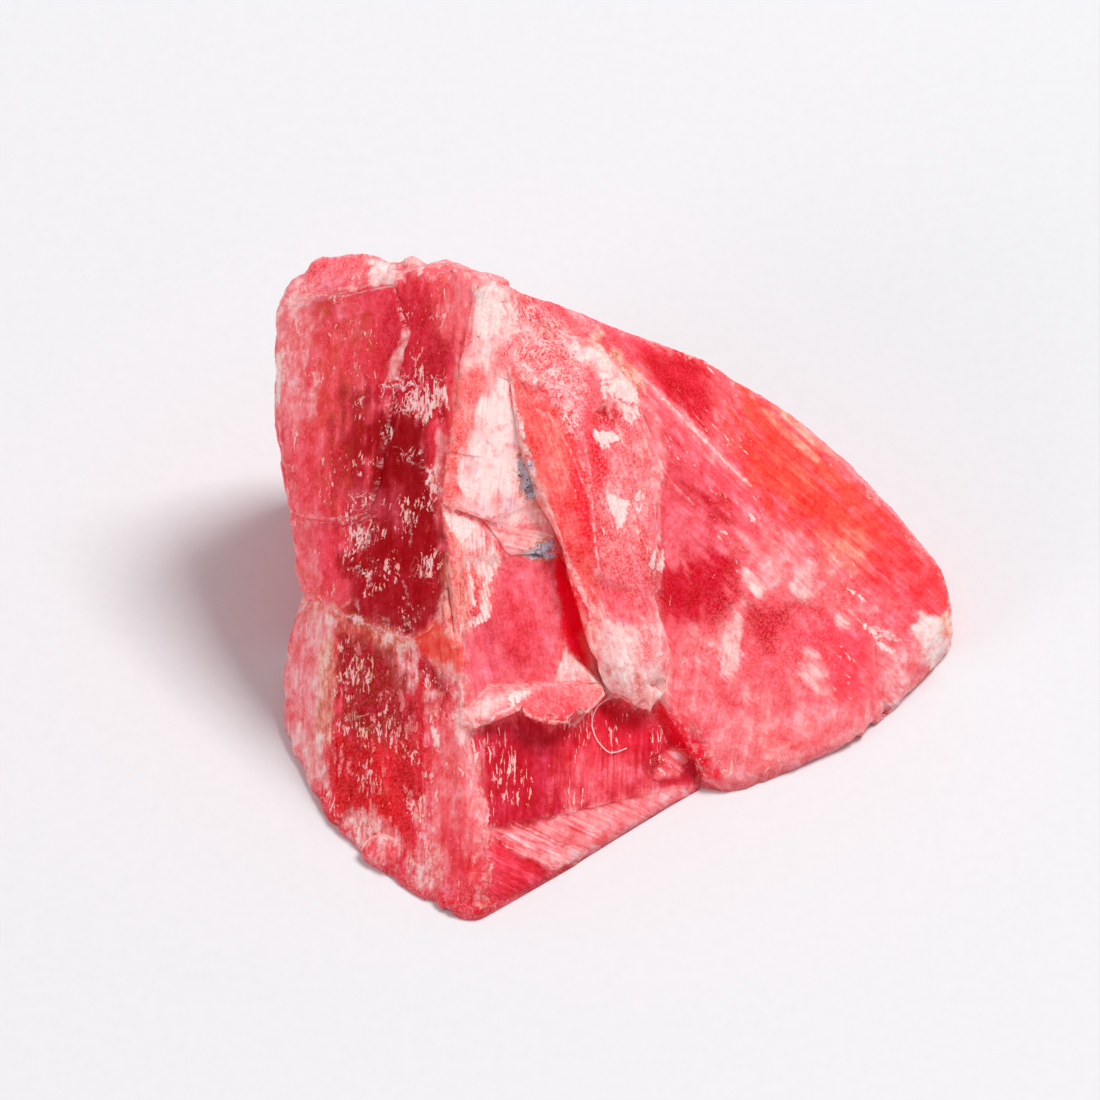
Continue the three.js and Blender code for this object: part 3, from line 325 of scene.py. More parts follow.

# Crisp frosted patches where the surface is bruised white, and a pale line along the finger's left edge that
# is painted light lifting the crevice's shade: name, outline
milkPatches = marked("""
hookMilk -3.45,0.72 -3.24,0.78 -3.3,0.36 -3.36,0.06 -3.27,-0.18 -3.3,-0.48 -3.51,-0.72 -3.87,-0.81
  -4.05,-0.63 -3.81,-0.51 -3.6,-0.36 -3.51,-0.06 -3.57,0.24
wallBar -4.26,2.4 -3.99,2.34 -3.96,1.8 -4.14,1.74
wallBar2 -3.96,0.78 -3.78,0.72 -3.78,-0.18 -3.93,-0.24
hookSide -3.99,0.69 -3.84,0.69 -3.84,0.3 -3.99,0.24
ledgeMilk -4.65,2.79 -4.44,2.64 -3.9,2.4 -3.72,2.16 -3.9,1.8 -4.14,1.86 -4.44,2.16
wallMilk -3.66,9.27 -3.3,9.48 -3,9.3 -2.88,8.7 -3.12,8.1 -3.42,7.65 -3.6,8.1 -3.72,8.64
cornerMilk -4.11,4.35 -4.02,3.6 -3.66,3.12 -3.9,3 -4.17,3.36 -4.2,4.14
jag1 0.15,3.24 0.36,3.12 0.66,3 0.84,3.06 0.72,2.4 0.57,1.95 0.42,2.52 0.18,2.88
jag2 1.11,3.39 1.26,3.3 1.32,2.82 1.14,2.58 1.02,3
jag3 -0.24,5.16 0,5.04 0.36,5.1 0.66,4.8 0.36,4.68 0.12,4.44 -0.12,4.8
shoulder1 0.12,6.36 0.54,6.48 1.02,6.24 1.08,5.88 0.72,5.94 0.3,6
shoulder2 0.66,5.82 1.02,5.76 1.08,5.46 0.84,5.28 0.66,5.52
sliver1 0,6.84 0.12,6.36 0.03,6 -0.09,6.36
ridgeBead 1.65,1.47 1.83,1.56 1.86,1.26 1.68,0.87 1.5,1.02
lipMilk -2.76,-3 -2.52,-2.7 -2.16,-2.7 -2.22,-3 -2.58,-3.24
chipMilk -5.04,-3.48 -4.92,-3.66 -4.83,-4.14 -4.8,-4.56 -4.98,-4.26 -5.07,-3.84
ledgeFleck1 -7.47,-0.36 -7.14,-0.48 -7.02,-0.78 -7.44,-0.66
ledgeFleck2 -8.28,-0.42 -7.98,-0.48 -7.98,-0.78 -8.22,-0.72
ledgeFleck3 -6.48,-0.9 -6.18,-1.02 -6.24,-1.32 -6.48,-1.2
edgePale -9.69,7.44 -9.45,7.5 -9.48,6.6 -9.6,5.88 -9.75,6
cleftLine -2.76,6.84 -2.73,6.6 -2.46,5.55 -2.1,4.14 -1.65,3 -1.44,2.58 -1.56,2.7 -1.92,3.48 -2.28,4.5
  -2.58,5.7
strokeA 7.98,-0.72 8.28,-0.78 8.7,-0.96 9.06,-1.11 9,-1.2 8.58,-1.14 8.22,-1.02 7.98,-0.87
strokeB 8.28,-1.2 8.58,-1.32 8.91,-1.56 8.82,-1.65 8.52,-1.5 8.25,-1.35
strokeC 7.44,0.42 7.74,0.18 8.04,-0.06 7.92,-0.12 7.65,0.06 7.41,0.3
""")

# Thin pale veins and scratches, and painted highlights along some lit edges: name, width in mm, line
# The pale line along the finger's left edge is painted light, lifting the shade of the crevice beside it.
# The pale line along the lip's lower rim sits on its lit side: a painted highlight.
veinsAndEdgeHighlights = marked("""
vein1 0.078 0.96,6.93 1.5,6.48 2.07,5.91 2.61,5.31 3.39,4.56 3.99,3.93 4.38,3.57
crestLine 0.048 -9,9.03 -8.1,9.12 -7.14,9.36 -6.54,9.54 -6,9.69 -5.61,9.87
leftBreak 0.042 -9.21,2.46 -8.76,2.37 -8.37,2.34 -7.86,2.4 -7.38,2.43 -6.84,2.49
ledgeRim 0.06 -8.97,-0.06 -8.46,-0.12 -7.92,-0.36 -7.38,-0.57 -6.87,-0.84 -6.54,-1.05 -6.06,-1.11 -5.64,-1.2
rustVein 0.09 -6.03,-1.2 -6,-1.68 -5.76,-1.32 -5.52,-1.5 -5.49,-2.28
fineEdge 0.042 -4.08,-0.36 -4.08,-1.2 -4.11,-2.4 -4.11,-3.36
sweepB 0.042 7.5,-0.3 8.4,-1.2 9.15,-1.2
scratchA 0.03 0.24,1.44 0.54,1.8 1.02,2.46 1.44,2.94
ridgeThread 0.054 -3.96,-4.44 -3.78,-5.25 -3.66,-6 -3.54,-6.6 -3.42,-7.5 -3.36,-8.4
ridgeThread2 0.036 -3.84,-4.35 -3.63,-5.25 -3.48,-6.15 -3.36,-7.2
pinkCurve 0.054 -4.02,4.71 -4.29,4.26 -4.17,3.48 -4.05,3.15 -3.57,2.94
dashA 0.06 -5.67,2.28 -5.64,1.86
dashB 0.06 -5.79,0.42 -5.7,0.09
fingerLeftEdge 0.066 -2.76,6.96 -2.46,5.4 -2.13,4.14 -1.71,3.12 -1.35,2.37 -1.11,1.56 -0.6,0.33 -0.36,-0.3
  -0.3,-1.26 -0.18,-1.83
lipEdge 0.072 -4.17,-3.63 -3.9,-3.75 -3.33,-3.66 -3.06,-3.36 -2.49,-3.21 -2.1,-3.45 -1.56,-3.63 -1.2,-3.63
  -0.75,-3.75 -0.45,-3.42 -0.18,-3.09 0.12,-2.82
lipTop 0.045 -4.02,-3.27 -3.33,-2.55 -2.94,-2.52 -2.04,-2.55 -1.56,-2.46
lipFold 0.048 -2.85,-2.7 -2.55,-3.15 -2.34,-3.36
fingerFacet 0.048 -0.42,4.62 -0.27,3.72 -0.24,3 -0.12,1.65 0,0.78
fingerFacet2 0.042 -1.5,5.49 -0.9,4.5 -0.33,3.12
fingerRight 0.054 1.02,5.4 1.35,4.68 1.65,4.08 1.65,2.4 1.68,1.02
vein4 0.048 1.77,3.96 2.7,3
stepA 0.042 -3.45,-7.02 -2.7,-7.38 -1.95,-7.74 -1.41,-8.01
stepB 0.036 -3,-6.84 -2.1,-7.26 -1.2,-7.68
stepC 0.036 -2.4,-6.72 -1.5,-7.14 -0.6,-7.56
""")

# Soft iron stains: name, amount, feather in mm, outline
rustStains = marked("""
stainA 0.7 0.24 -8.46,8.85 -8.04,8.76 -8.04,8.25 -8.4,8.25
stainB 0.75 0.24 -7.26,8.46 -6.78,8.34 -6.78,7.5 -7.2,7.5
stainC 0.7 0.15 -9,6.36 -8.34,6.24 -8.34,6 -8.88,6
stainD 0.6 0.12 -3.96,8.22 -3.78,8.22 -3.78,7.86 -3.96,7.86
stainE 0.9 0.18 0.12,7.5 0.42,7.44 1.2,6.6 1.02,6.3 0.54,6.84
stainF 0.5 0.24 -7.65,-0.36 -6.6,-0.84 -5.64,-1.2 -5.88,-1.8 -6.84,-1.2
stainG 0.6 0.12 -8.1,-1.2 -7.89,-1.5 -8.01,-2.4 -8.16,-2.28
stainH 0.6 0.18 -7.92,-3 -7.32,-3.12 -7.32,-3.75 -7.86,-3.66
stainI 0.7 0.12 -6.57,-5.4 -6.39,-5.46 -6.42,-5.94 -6.57,-5.88
stainJ 0.8 0.12 -2.37,4.8 -2.16,4.56 -1.98,3.6 -1.44,2.64 -1.68,2.58 -2.16,3.06 -2.46,3.6
stainK 0.7 0.15 4.32,5.94 4.68,5.88 4.62,5.4 4.35,5.25
stainL 0.4 0.24 0,-2.04 1.5,-2.28 1.65,-2.94 0.18,-2.7
stainM 0.22 0.36 -8.52,9.36 -6.84,9 -6.96,6 -7.68,2.4 -8.52,3
stainN 0.35 0.24 -9.12,1.2 -7.8,0.3 -6.84,-0.66 -5.64,-1.2 -6.6,-1.2 -8.1,-0.36 -9,-0.18
stainO 0.45 0.18 -8.46,-1.5 -7.92,-1.2 -7.92,-1.83 -8.1,-3.36 -8.34,-4.47 -8.22,-5.4 -8.58,-4.8 -8.58,-3
stainP 0.15 0.24 -7.8,-1.2 -6,-1.5 -5.52,-3 -6,-4.8 -7.5,-4.2
stainQ 0.35 0.18 -4.8,5.1 -4.2,4.8 -4.14,0 -4.62,-0.36 -4.8,2.4
""")

# Thin grey metallic films: name, outline
steelFilms = marked("""
filmA -2.37,4.32 -2.13,4.14 -1.98,3.6 -1.89,3.09 -2.13,2.97 -2.34,3.3 -2.46,3.84
filmB -2.28,1.44 -2.04,1.59 -1.77,1.74 -1.41,1.83 -1.26,1.62 -1.32,1.38 -1.65,1.26 -2.1,1.32
""")

# Tiny dark specks: name, radius in mm, centre
specks = marked("""
s1 0.039 -3.63,7.89
s2 0.033 1.05,6.72
s3 0.021 -2.94,6.84
s4 0.021 -2.4,6.36
s5 0.036 -1.65,5.79
s6 0.021 -1.98,4.68
s7 0.045 -7.26,-4.44
s8 0.054 -2.64,-4.95
s9 0.033 1.14,3.03
s10 0.021 -1.14,3.75
""")

# Surface finish by zone: name, streaks, flecks (partly painted glints), frost, facets, feather in mm, outline
finishZones = marked("""
upperBlock 0.3 0.72 0.08 0.3 0.3 -9.9,9 -6,9.84 -3.72,9.6 -3.72,8.13 -4.35,6 -4.59,3 -4.44,1.56 -4.59,-0.33
  -5.64,-1.23 -7.5,-0.54 -9,-0.06 -9.45,3.6 -9.96,6
crest 0.6 0.5 0.4 0.3 0.24 -9.9,10.8 -3.6,10.8 -3.66,9.54 -6,9.84 -9,9 -9.9,8.4
maroonDepth 0.7 0.96 0 0.2 0.24 -7.35,6 -4.62,5.4 -4.59,4.05 -4.77,2.85 -4.44,1.56 -4.59,-0.33 -5.16,-1.02
  -5.64,-1.23 -7.5,-0.51 -7.5,3
feathers 0.5 1.24 0 0.7 0.3 -6.66,6.72 -5.88,6.9 -5.52,7.02 -4.92,6.84 -4.44,6.72 -4.32,6.24 -4.44,5.64
  -4.68,5.28 -5.1,5.16 -5.52,5.4 -6,5.46 -6.48,5.64 -6.72,6.06
plumeA 0.5 1.17 0 0.5 0.27 -7.62,2.46 -6.6,2.4 -6.78,1.44 -7.5,1.56
ledgeBreak 0.5 1.22 0.3 1 0.18 -9.12,0.06 -8.1,-0.18 -7.5,-0.36 -6.6,-0.84 -5.64,-1.14 -5.64,-1.62
  -6.24,-1.44 -6.72,-1.38 -7.68,-0.96 -8.1,-1.2 -8.46,-1.02 -9,-0.66
lowerStrip 0.45 0.3 0.15 0.3 0.15 -9,-0.18 -7.92,-0.36 -7.92,-1.83 -8.13,-3.36 -8.34,-4.47 -8.16,-5.43
  -8.79,-5.52 -9.48,-4.2 -9.54,-2.4
lowerBlock 0.6 1 0.1 1 0.18 -7.92,-0.42 -5.64,-1.23 -4.11,-2.7 -3.9,-4.5 -3.48,-6.9 -3.39,-8.4 -4.98,-8.76
  -6.48,-8.04 -7.89,-7.05 -8.34,-5.7
foot 0.4 0.4 0.3 0.6 0.15 -6.48,-8.04 -5.1,-8.64 -3,-8.91 -3.66,-9.72 -4.38,-9.63 -5.7,-9
cheek 0.6 0.15 0.05 0.1 0.09 -5.64,-1.23 -4.8,-0.3 -4.08,-1.14 -4.08,-2.46 -4.92,-1.92
fibrous 1 0.5 0.5 0.3 0.09 -4.77,2.85 -3,2.28 -3.24,-0.36 -4.08,-1.2 -5.04,-0.54 -4.35,1.2
paleWall 0.4 0.1 0.45 0.12 0.15 -3.78,9.54 -2.7,9.3 -2.43,9.21 -2.79,6.96 -1.38,2.07 -2.4,2.19 -4.77,2.85
  -4.29,6
triangle 0.6 0.05 0.1 0.05 0.06 -3.36,2.31 -1.35,2.07 -1.23,1.56 -2.73,1.35
pinkFace 0.3 0.3 0.1 0.15 0.15 -2.73,1.35 -1.32,1.29 -1.14,-0.96 -1.29,-2.43 -3.33,-2.58 -4.02,-3.36
  -4.08,-1.2 -3.15,0
cleft 0.15 0 0 0 0.06 -1.38,1.5 -1.14,1.5 -0.36,-0.3 0.06,-2.49 -1.05,-1.41
lip 0.3 0.25 0.3 0.25 0.12 -4.2,-3.48 -3.33,-2.52 0.09,-2.46 0.18,-2.91 -0.75,-3.93 -3.66,-3.93
finger 0.55 0.35 0.2 0.25 0.15 -2.79,6.96 -1.2,6 1.2,5.7 1.68,4.11 1.68,0.96 2.04,-1.2 0,-1.8 -1.2,1.53
  -2.49,5.4
fingerMid 0.5 0.7 0.5 0.5 0.18 0,5.4 1.2,5.64 1.62,3.9 1.62,1.2 1.2,0 0.12,0.9 -0.12,3
fingerEnd 0.3 0.3 0.5 0.5 0.15 -0.24,-0.6 1.2,-1.2 1.71,-0.3 2.16,-2.28 1.65,-3.39 0.18,-2.88
crumple 0.3 0.8 0.85 0.6 0.18 -3.15,9 -2.1,9 -1.2,8.34 -0.54,7.44 -0.42,6 -0.66,4.92 -1.08,4.92 -1.44,6
  -2.4,6.6 -2.85,7.5
rightFace 0.3 0.55 0.06 0.12 0.36 0,8.37 3.3,7.23 5.7,5.76 8.61,2.94 10.74,0.15 10.74,-1.2 8.7,-3.33
  5.85,-5.22 3.3,-5.61 1.74,-3.36 1.65,0.12 1.65,3 1.02,6.84
rightWarm 0.5 0.12 0.05 0.1 0.36 4.5,6 5.7,5.76 8.61,2.94 10.65,0.3 10.74,-0.6 9,-0.3 6.6,1.8 4.65,3.6
rightPink 0.3 0.35 0.2 0.2 0.42 4.35,1.2 7.5,0.9 9,-1.2 7.2,-0.6 6,-2.7 4.2,-4.8 2.4,-3.6 2.7,-1.2
lowerFront 0.7 0.8 0 0.25 0.18 -4.11,-3.84 0.15,-2.94 2.85,-4.29 3.12,-5.58 -1.02,-6.42 -3.51,-6.84
toe 1.6 0.2 0 0 0.15 -3.51,-6.84 -0.06,-6.18 3.15,-5.58 0.57,-7.17 -2.91,-9 -3.42,-8.7
plumeB 0.5 1.18 0 0.5 0.27 -7.5,1.32 -6.66,1.26 -6.84,0.42 -7.44,0.48
plumeC 0.5 1.12 0 0.4 0.27 -5.64,1.44 -4.8,1.38 -4.92,0.24 -5.7,0.48
plumeD 0.6 1.2 0 0.3 0.18 -6.54,5.34 -6.06,5.22 -6.18,4.68 -6.6,4.8
plumeE 0.6 1.2 0 0.3 0.18 -6.12,4.62 -5.22,4.56 -5.28,4.02 -6.06,4.08
plumeF 0.6 1.25 0 0.3 0.18 -5.28,4.08 -4.8,4.02 -4.86,3.18 -5.22,3.3
plumeG 0.5 1.2 0 0.5 0.27 -7.74,3.36 -6.84,3.3 -6.96,2.52 -7.68,2.64
plumeH 0.5 1.12 0 1 0.27 -7.68,-1.68 -6.78,-1.74 -6.9,-2.7 -7.62,-2.58
plumeI 0.5 1.17 0 1 0.24 -7.62,-3.24 -6.66,-3.3 -6.84,-4.02 -7.5,-3.9
ridge 0.35 0.6 0.05 0.3 0.24 -5.04,-3.6 -4.14,-3.66 -3.42,-7.5 -3.42,-8.52 -4.98,-8.4
lowerFrontLeft 0.5 0.98 0 0.3 0.3 -3.6,-3.9 -1.32,-3.84 -1.44,-6 -3.3,-6.54
toeRight 0.5 0.25 0 0.1 0.36 0,-6 3.18,-5.4 3.12,-6 1.2,-7.14 -0.75,-7.5 -0.45,-6.66
""")

# Which way the grain runs, in degrees from across, and how short its lines are:
# name, angle, shortness, outline
grainZones = marked("""
leftFace 90 1 -10.2,10.5 -3.66,9.9 -3.72,8.13 -4.59,4.05 -4.05,-3.6 -3.3,-9 -3.9,-9.9 -6.6,-8.1 -10.2,-3
lowerStrip 89 0.7 -9,-0.18 -7.92,-0.36 -7.92,-1.83 -8.13,-3.36 -8.34,-4.47 -8.16,-5.43 -8.79,-5.52
  -9.48,-4.2 -9.54,-2.4
paleWall 84 0.6 -3.78,9.54 -2.43,9.21 -1.38,2.07 -4.77,2.85 -4.29,6
fibrous 92 0.5 -4.77,2.85 -3,2.28 -3.24,-0.36 -4.08,-1.2 -5.04,-0.54 -4.35,1.2
triangle -12 0.3 -3.36,2.31 -1.35,2.07 -1.23,1.56 -2.73,1.35
pinkFace -78 0.8 -4.11,1.2 -1.32,1.29 -1.14,-0.96 -1.29,-2.43 -3.33,-2.58 -4.02,-3.36
finger -72 0.6 -2.79,6.96 1.2,5.7 1.68,4.11 1.68,0.96 2.1,-1.2 2.1,-3 0,-2.7 -1.2,1.53 -2.49,5.4
crumple 20 1 -3,8.1 -1.02,8.46 0.36,7.65 1.08,5.55 0,6 -2.64,6.96
rightFace -42 0.6 0,8.37 3.3,7.23 5.7,5.76 8.61,2.94 10.74,0.15 10.74,-1.2 8.7,-3.33 6,-2.7 4.2,-0.6 2.7,0.6
  1.65,3 1.02,6.84
rightLow 80 0.6 1.68,0.12 2.7,0.6 4.2,-0.6 6,-2.7 8.7,-3.33 5.85,-5.22 3.3,-5.61 1.74,-3.36
lowerFront 88 0.5 -4.11,-3.84 0.15,-2.94 2.85,-4.29 3.12,-5.58 -1.02,-6.42 -3.51,-6.84
toe -27 0.2 -3.51,-6.84 -1.02,-6.42 1.2,-5.85 3.15,-5.58 0.57,-7.17 -2.91,-9 -3.42,-8.7
stripeFan -35 0.3 1.8,-4.32 2.85,-4.5 2.4,-5.52 1.5,-5.4
""")

# Where broken edges are worn soft: name, outline
softZones = marked("""
plate -10.26,10.92 -5.1,10.92 -3.6,10.5 -3.78,9 -4.2,6 -4.8,5.4 -4.86,0 -5.64,-0.84 -7.5,-0.18 -9.12,0.36
  -10.14,1.2 -10.26,6
leftRim -9.96,0 -9,-0.36 -9.12,-3 -8.64,-5.1 -7.44,-6.6 -6,-8.28 -3.9,-9.15 -3.24,-8.4 -2.7,-9.15
  -3.72,-10.2 -6,-9.9 -8.1,-8.4 -10.2,-5.4
rightRim 11.16,-1.2 10.5,0 9,-1.2 7.8,-2.7 6,-4.05 4.2,-5.1 3.45,-4.2 3,-3 2.4,-3 2.7,-4.35 3.12,-6
  4.8,-6.18 8.4,-4.8 11.1,-2.4
crumplePits -3.42,9 -1.2,9 1.2,7.5 1.5,5.4 0,5.64 -2.79,6.66 -3.3,7.8
fingerSide 0.9,6.15 2.04,6 2.16,0 1.2,0.3
toeEdge -3,-9.3 3.15,-6 2.7,-5.25 0.6,-6.6 -3,-8.4
ridgeLow -4.44,-3.9 -3.12,-3.9 -3,-9 -4.2,-9
crestRight -5.25,10.5 -2.4,9.75 -2.55,8.7 -3.9,9.12 -5.25,9.3
cleftTop -3,6.15 -2.1,6.15 -0.84,1.2 -1.56,1.2
slit -4.86,1.44 -4.14,1.44 -4.08,-1.56 -4.8,-1.56
cleftLow -1.32,1.32 -0.48,0.9 0,-1.2 0.18,-2.7 -0.6,-2.52 -1.14,-1.2
""")

# What a user may change about the stone's skin. Lengths are in mm. A layer of noise has a
# wavelength, a depth, and an offset that chooses its pattern.
skin = {
    "frontEdge": 0.118,             # longest mesh edge on the faces that look forward
    "backEdge": 0.30,               # on the rest
    "forward": 0.03,                # how far forward a face looks to count as such, -1 to 1
    "baseEdge": 0.9,                # on the flat underside
    "mostTriangles": 192000,        # once the needles have gone
    "rounding": 1,                  # rounds of smoothing on broken edges
    "softening": 36,                # more rounds where the break is worn
    "backWear": 0.35,               # how much of that the hidden side has
    "plump": 0.09,                  # how far the worn parts stand out again
    "swell": (2.6, 0.045, 3.1),     # the slow unevenness
    "steps": (0.9, 0.05, 9.9),      # cleavage steps that run with the grain
    "ridges": (0.22, 0.035, 15.2),  # striations
    "hackle": (0.26, 0.10, 21.4),   # the crumpled, broken ground
    "chips": (0.34, 0.05, 27.7),    # losses along sharp edges
    "sugar": (0.13, 0.01, 40.0),    # the finest roughness
    "backHackle": 0.45,             # how crumpled the hidden side is
    "sink": 0.045,                  # how much of the relief stands out again
    "sharpAngle": 34,               # degrees between facets that stay crisp
    "edgeBend": 0.9,                # facets turned further than this cosine make a broken edge
    "markReach": 0.5,               # how far the distance from a crisp mark is kept
    "plainFinish": (0.45, 0.35, 0.25, 0.5),                  # the finish outside every zone
    "acrossWander": ((0.8, 0.10, 0.0), (0.27, 0.05, 7.3)),   # how borders between zones stray
    "upWander": ((0.8, 0.10, 31.7), (0.27, 0.05, 50.1)),
}


def toFront(points):
    # across, up and out of each point, in mm
    moved = points - front["shift"]
    return moved @ acrossAxis, moved @ upAxis, moved @ outAxis


def fromFront(across, up, out):
    return across * acrossAxis + up * upAxis + out * outAxis + front["shift"]


def smoothStep(low, high, value):
    t = np.clip((value - low) / (high - low), 0, 1)
    return t * t * (3 - 2 * t)


def noiseAt(points, wavelength, offset=0.0, stretch=(1, 1, 1)):
    # -1 to 1 at each point
    scaled = points * (np.array(stretch) / wavelength) + offset
    return np.array([noise.noise(Vector(p)) for p in scaled.tolist()])


def edgesOf(triangles, pointCount):
    # each edge once, and which edge each side of each triangle is
    starts, ends = triangles.ravel(), triangles[:, [1, 2, 0]].ravel()
    keys = np.minimum(starts, ends) * pointCount + np.maximum(starts, ends)
    unique, sideEdge = np.unique(keys, return_inverse=True)
    return np.stack([unique // pointCount, unique % pointCount], 1), sideEdge.reshape(-1, 3)


def edgeLengths(points, edges):
    return np.linalg.norm(points[edges[:, 0]] - points[edges[:, 1]], axis=1)


def faceNormals(points, triangles):
    a, b, c = (points[triangles[:, k]] for k in range(3))
    normals = np.cross(b - a, c - a)
    size = np.linalg.norm(normals, axis=1)
    return normals / np.maximum(size, 1e-12)[:, None], size / 2


def pointNormals(points, triangles):
    normals, areas = faceNormals(points, triangles)
    total = np.zeros_like(points)
    for corner in range(3):
        for axis in range(3):
            total[:, axis] += np.bincount(triangles[:, corner], normals[:, axis] * areas, len(points))
    return total / np.maximum(np.linalg.norm(total, axis=1), 1e-12)[:, None]


def longestAllowed(points, triangles, edges, sideEdge):
    # the mesh is finest where the stone looks forward, coarser behind and coarsest underneath
    facing = np.full(len(edges), -1.0)
    normals, _ = faceNormals(points, triangles)
    for side in range(3):
        np.maximum.at(facing, sideEdge[:, side], normals @ outAxis)
    allowed = np.where(facing > skin["forward"], skin["frontEdge"], skin["backEdge"])
    flat = (points[triangles, 2] < floorTouch).all(axis=1)
    inside = np.ones(len(edges), bool)
    for side in range(3):
        inside[sideEdge[~flat, side]] = False
    return np.where(inside, skin["baseEdge"], allowed)


def splitOnce(points, triangles):
    # halves every edge that is too long; returns False when there are none
    edges, sideEdge = edgesOf(triangles, len(points))
    isLong = edgeLengths(points, edges) > longestAllowed(points, triangles, edges, sideEdge)
    if not isLong.any():
        return points, triangles, False
    middleOf = np.full(len(edges), -1)
    middleOf[isLong] = len(points) + np.arange(isLong.sum())
    points = np.vstack([points, (points[edges[isLong, 0]] + points[edges[isLong, 1]]) / 2])
    middles = middleOf[sideEdge]
    cuts = (middles >= 0).sum(axis=1)
    made = [triangles[cuts == 0]]
    for turn in range(3):
        order = [turn, (turn + 1) % 3, (turn + 2) % 3]
        t, m = triangles[:, order], middles[:, order]
        one = (cuts == 1) & (m[:, 0] >= 0)
        a, b, c, ab = t[one, 0], t[one, 1], t[one, 2], m[one, 0]
        made += [np.stack([a, ab, c], 1), np.stack([ab, b, c], 1)]
        two = (cuts == 2) & (m[:, 0] < 0)
        a, b, c, bc, ca = t[two, 0], t[two, 1], t[two, 2], m[two, 1], m[two, 2]
        made.append(np.stack([bc, c, ca], 1))
        first = (np.linalg.norm(points[a] - points[bc], axis=1)
                 <= np.linalg.norm(points[b] - points[ca], axis=1))[:, None]
        made.append(np.where(first, np.stack([a, b, bc], 1), np.stack([a, b, ca], 1)))
        made.append(np.where(first, np.stack([a, bc, ca], 1), np.stack([b, bc, ca], 1)))
    a, b, c = triangles[cuts == 3].T
    ab, bc, ca = middles[cuts == 3].T
    made += [np.stack(s, 1) for s in ((a, ab, ca), (ab, b, bc), (ca, bc, c), (ab, bc, ca))]
    return points, np.vstack(made), True


def relax(points, triangles, rounds, held, pull=0.5, pushBack=0.0):
    # evens the skin out; pushBack keeps it from shrinking, and long edges count for little
    edges, _ = edgesOf(triangles, len(points))
    length = edgeLengths(points, edges)
    weight = np.minimum(1, skin["frontEdge"] / np.maximum(length, 1e-9)) ** 2
    count = np.bincount(edges.ravel(), np.repeat(weight, 2), len(points))
    for turn in range(rounds):
        strength = -pushBack if pushBack and turn % 2 else pull
        total = np.zeros_like(points)
        for axis in range(3):
            total[:, axis] = (np.bincount(edges[:, 0], points[edges[:, 1], axis] * weight, len(points))
                              + np.bincount(edges[:, 1], points[edges[:, 0], axis] * weight, len(points)))
        even = total / count[:, None]
        moved = points * (1 - strength) + even * strength
        moved[held, 2] = points[held, 2]
        points = moved
    return points


def outlineDistance(across, up, outline):
    # mm from the outline, positive inside it
    nearest = np.full(len(across), 1e9)
    inside = np.zeros(len(across), bool)
    for (x0, y0), (x1, y1) in zip(outline, outline[1:] + outline[:1]):
        dx, dy = x1 - x0, y1 - y0
        t = np.clip(((across - x0) * dx + (up - y0) * dy) / (dx * dx + dy * dy), 0, 1)
        nearest = np.minimum(nearest, np.hypot(across - x0 - t * dx, up - y0 - t * dy))
        if y0 != y1:
            inside ^= ((y0 > up) != (y1 > up)) & (across < dx * (up - y0) / dy + x0)
    return np.where(inside, nearest, -nearest)


def thinned(points, triangles):
    # needle triangles go first, as the shortest edges on flat ground are the first to collapse
    mesh = bpy.data.meshes.new("skinDraft")
    mesh.from_pydata(points.tolist(), [], triangles.tolist())
    draft = bpy.data.objects.new("skinDraft", mesh)
    bpy.context.scene.collection.objects.link(draft)
    fewer = draft.modifiers.new("fewer", "DECIMATE")
    fewer.ratio = skin["mostTriangles"] / len(triangles)
    even = draft.evaluated_get(bpy.context.evaluated_depsgraph_get()).to_mesh()
    even.calc_loop_triangles()
    points = np.array([v.co for v in even.vertices], dtype=float)
    triangles = np.array([t.vertices for t in even.loop_triangles], dtype=np.int64)
    bpy.data.objects.remove(draft)
    bpy.data.meshes.remove(mesh)
    return points, triangles


def buildSkin():
    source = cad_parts["stone"].data
    source.calc_loop_triangles()
    points = np.array([v.co for v in source.vertices], dtype=float) / millimetre
    triangles = np.array([t.vertices for t in source.loop_triangles], dtype=np.int64)
    # the imported mesh may split a corner for each facet: corners in one place become one
    _, first, index = np.unique(np.round(points, 4), axis=0, return_index=True, return_inverse=True)
    points, triangles = points[first], index.reshape(-1)[triangles]
    whole = (triangles != triangles[:, [1, 2, 0]]).all(axis=1)
    triangles = triangles[whole]
    again = True
    while again:
        points, triangles, again = splitOnce(points, triangles)
    return thinned(points, triangles)


points, triangles = buildSkin()
print("stage: skin refined,", len(points), "points,", len(triangles), "triangles")

plain = points.copy()
everyRow = np.arange(len(plain))
across, up, out = toFront(plain)
under = plain[:, 2] < floorTouch


def near(outline, margin):
    # the points that an outline may reach
    xs, ys = zip(*outline)
    return np.flatnonzero((across > min(xs) - margin) & (across < max(xs) + margin)
                          & (up > min(ys) - margin) & (up < max(ys) + margin))


# Worn parts are rounder than the rest
flatNormals = pointNormals(plain, triangles)
softShare = skin["backWear"] * smoothStep(0.1, -0.2, flatNormals @ outAxis)
for _, outline in softZones:
    rows = near(outline, 0.5)
    share = smoothStep(-0.1, 0.35, outlineDistance(across[rows], up[rows], outline))
    softShare[rows] = np.maximum(softShare[rows], share)
points = relax(plain, triangles, skin["rounding"], under)
softer = relax(points, triangles, skin["softening"], under, 0.6, 0.25)
points += (softer - points) * softShare[:, None]
smoothNormals = pointNormals(relax(points, triangles, 6, under), triangles)
facing = smoothNormals @ outAxis
frontShare = smoothStep(-0.05, 0.2, facing)

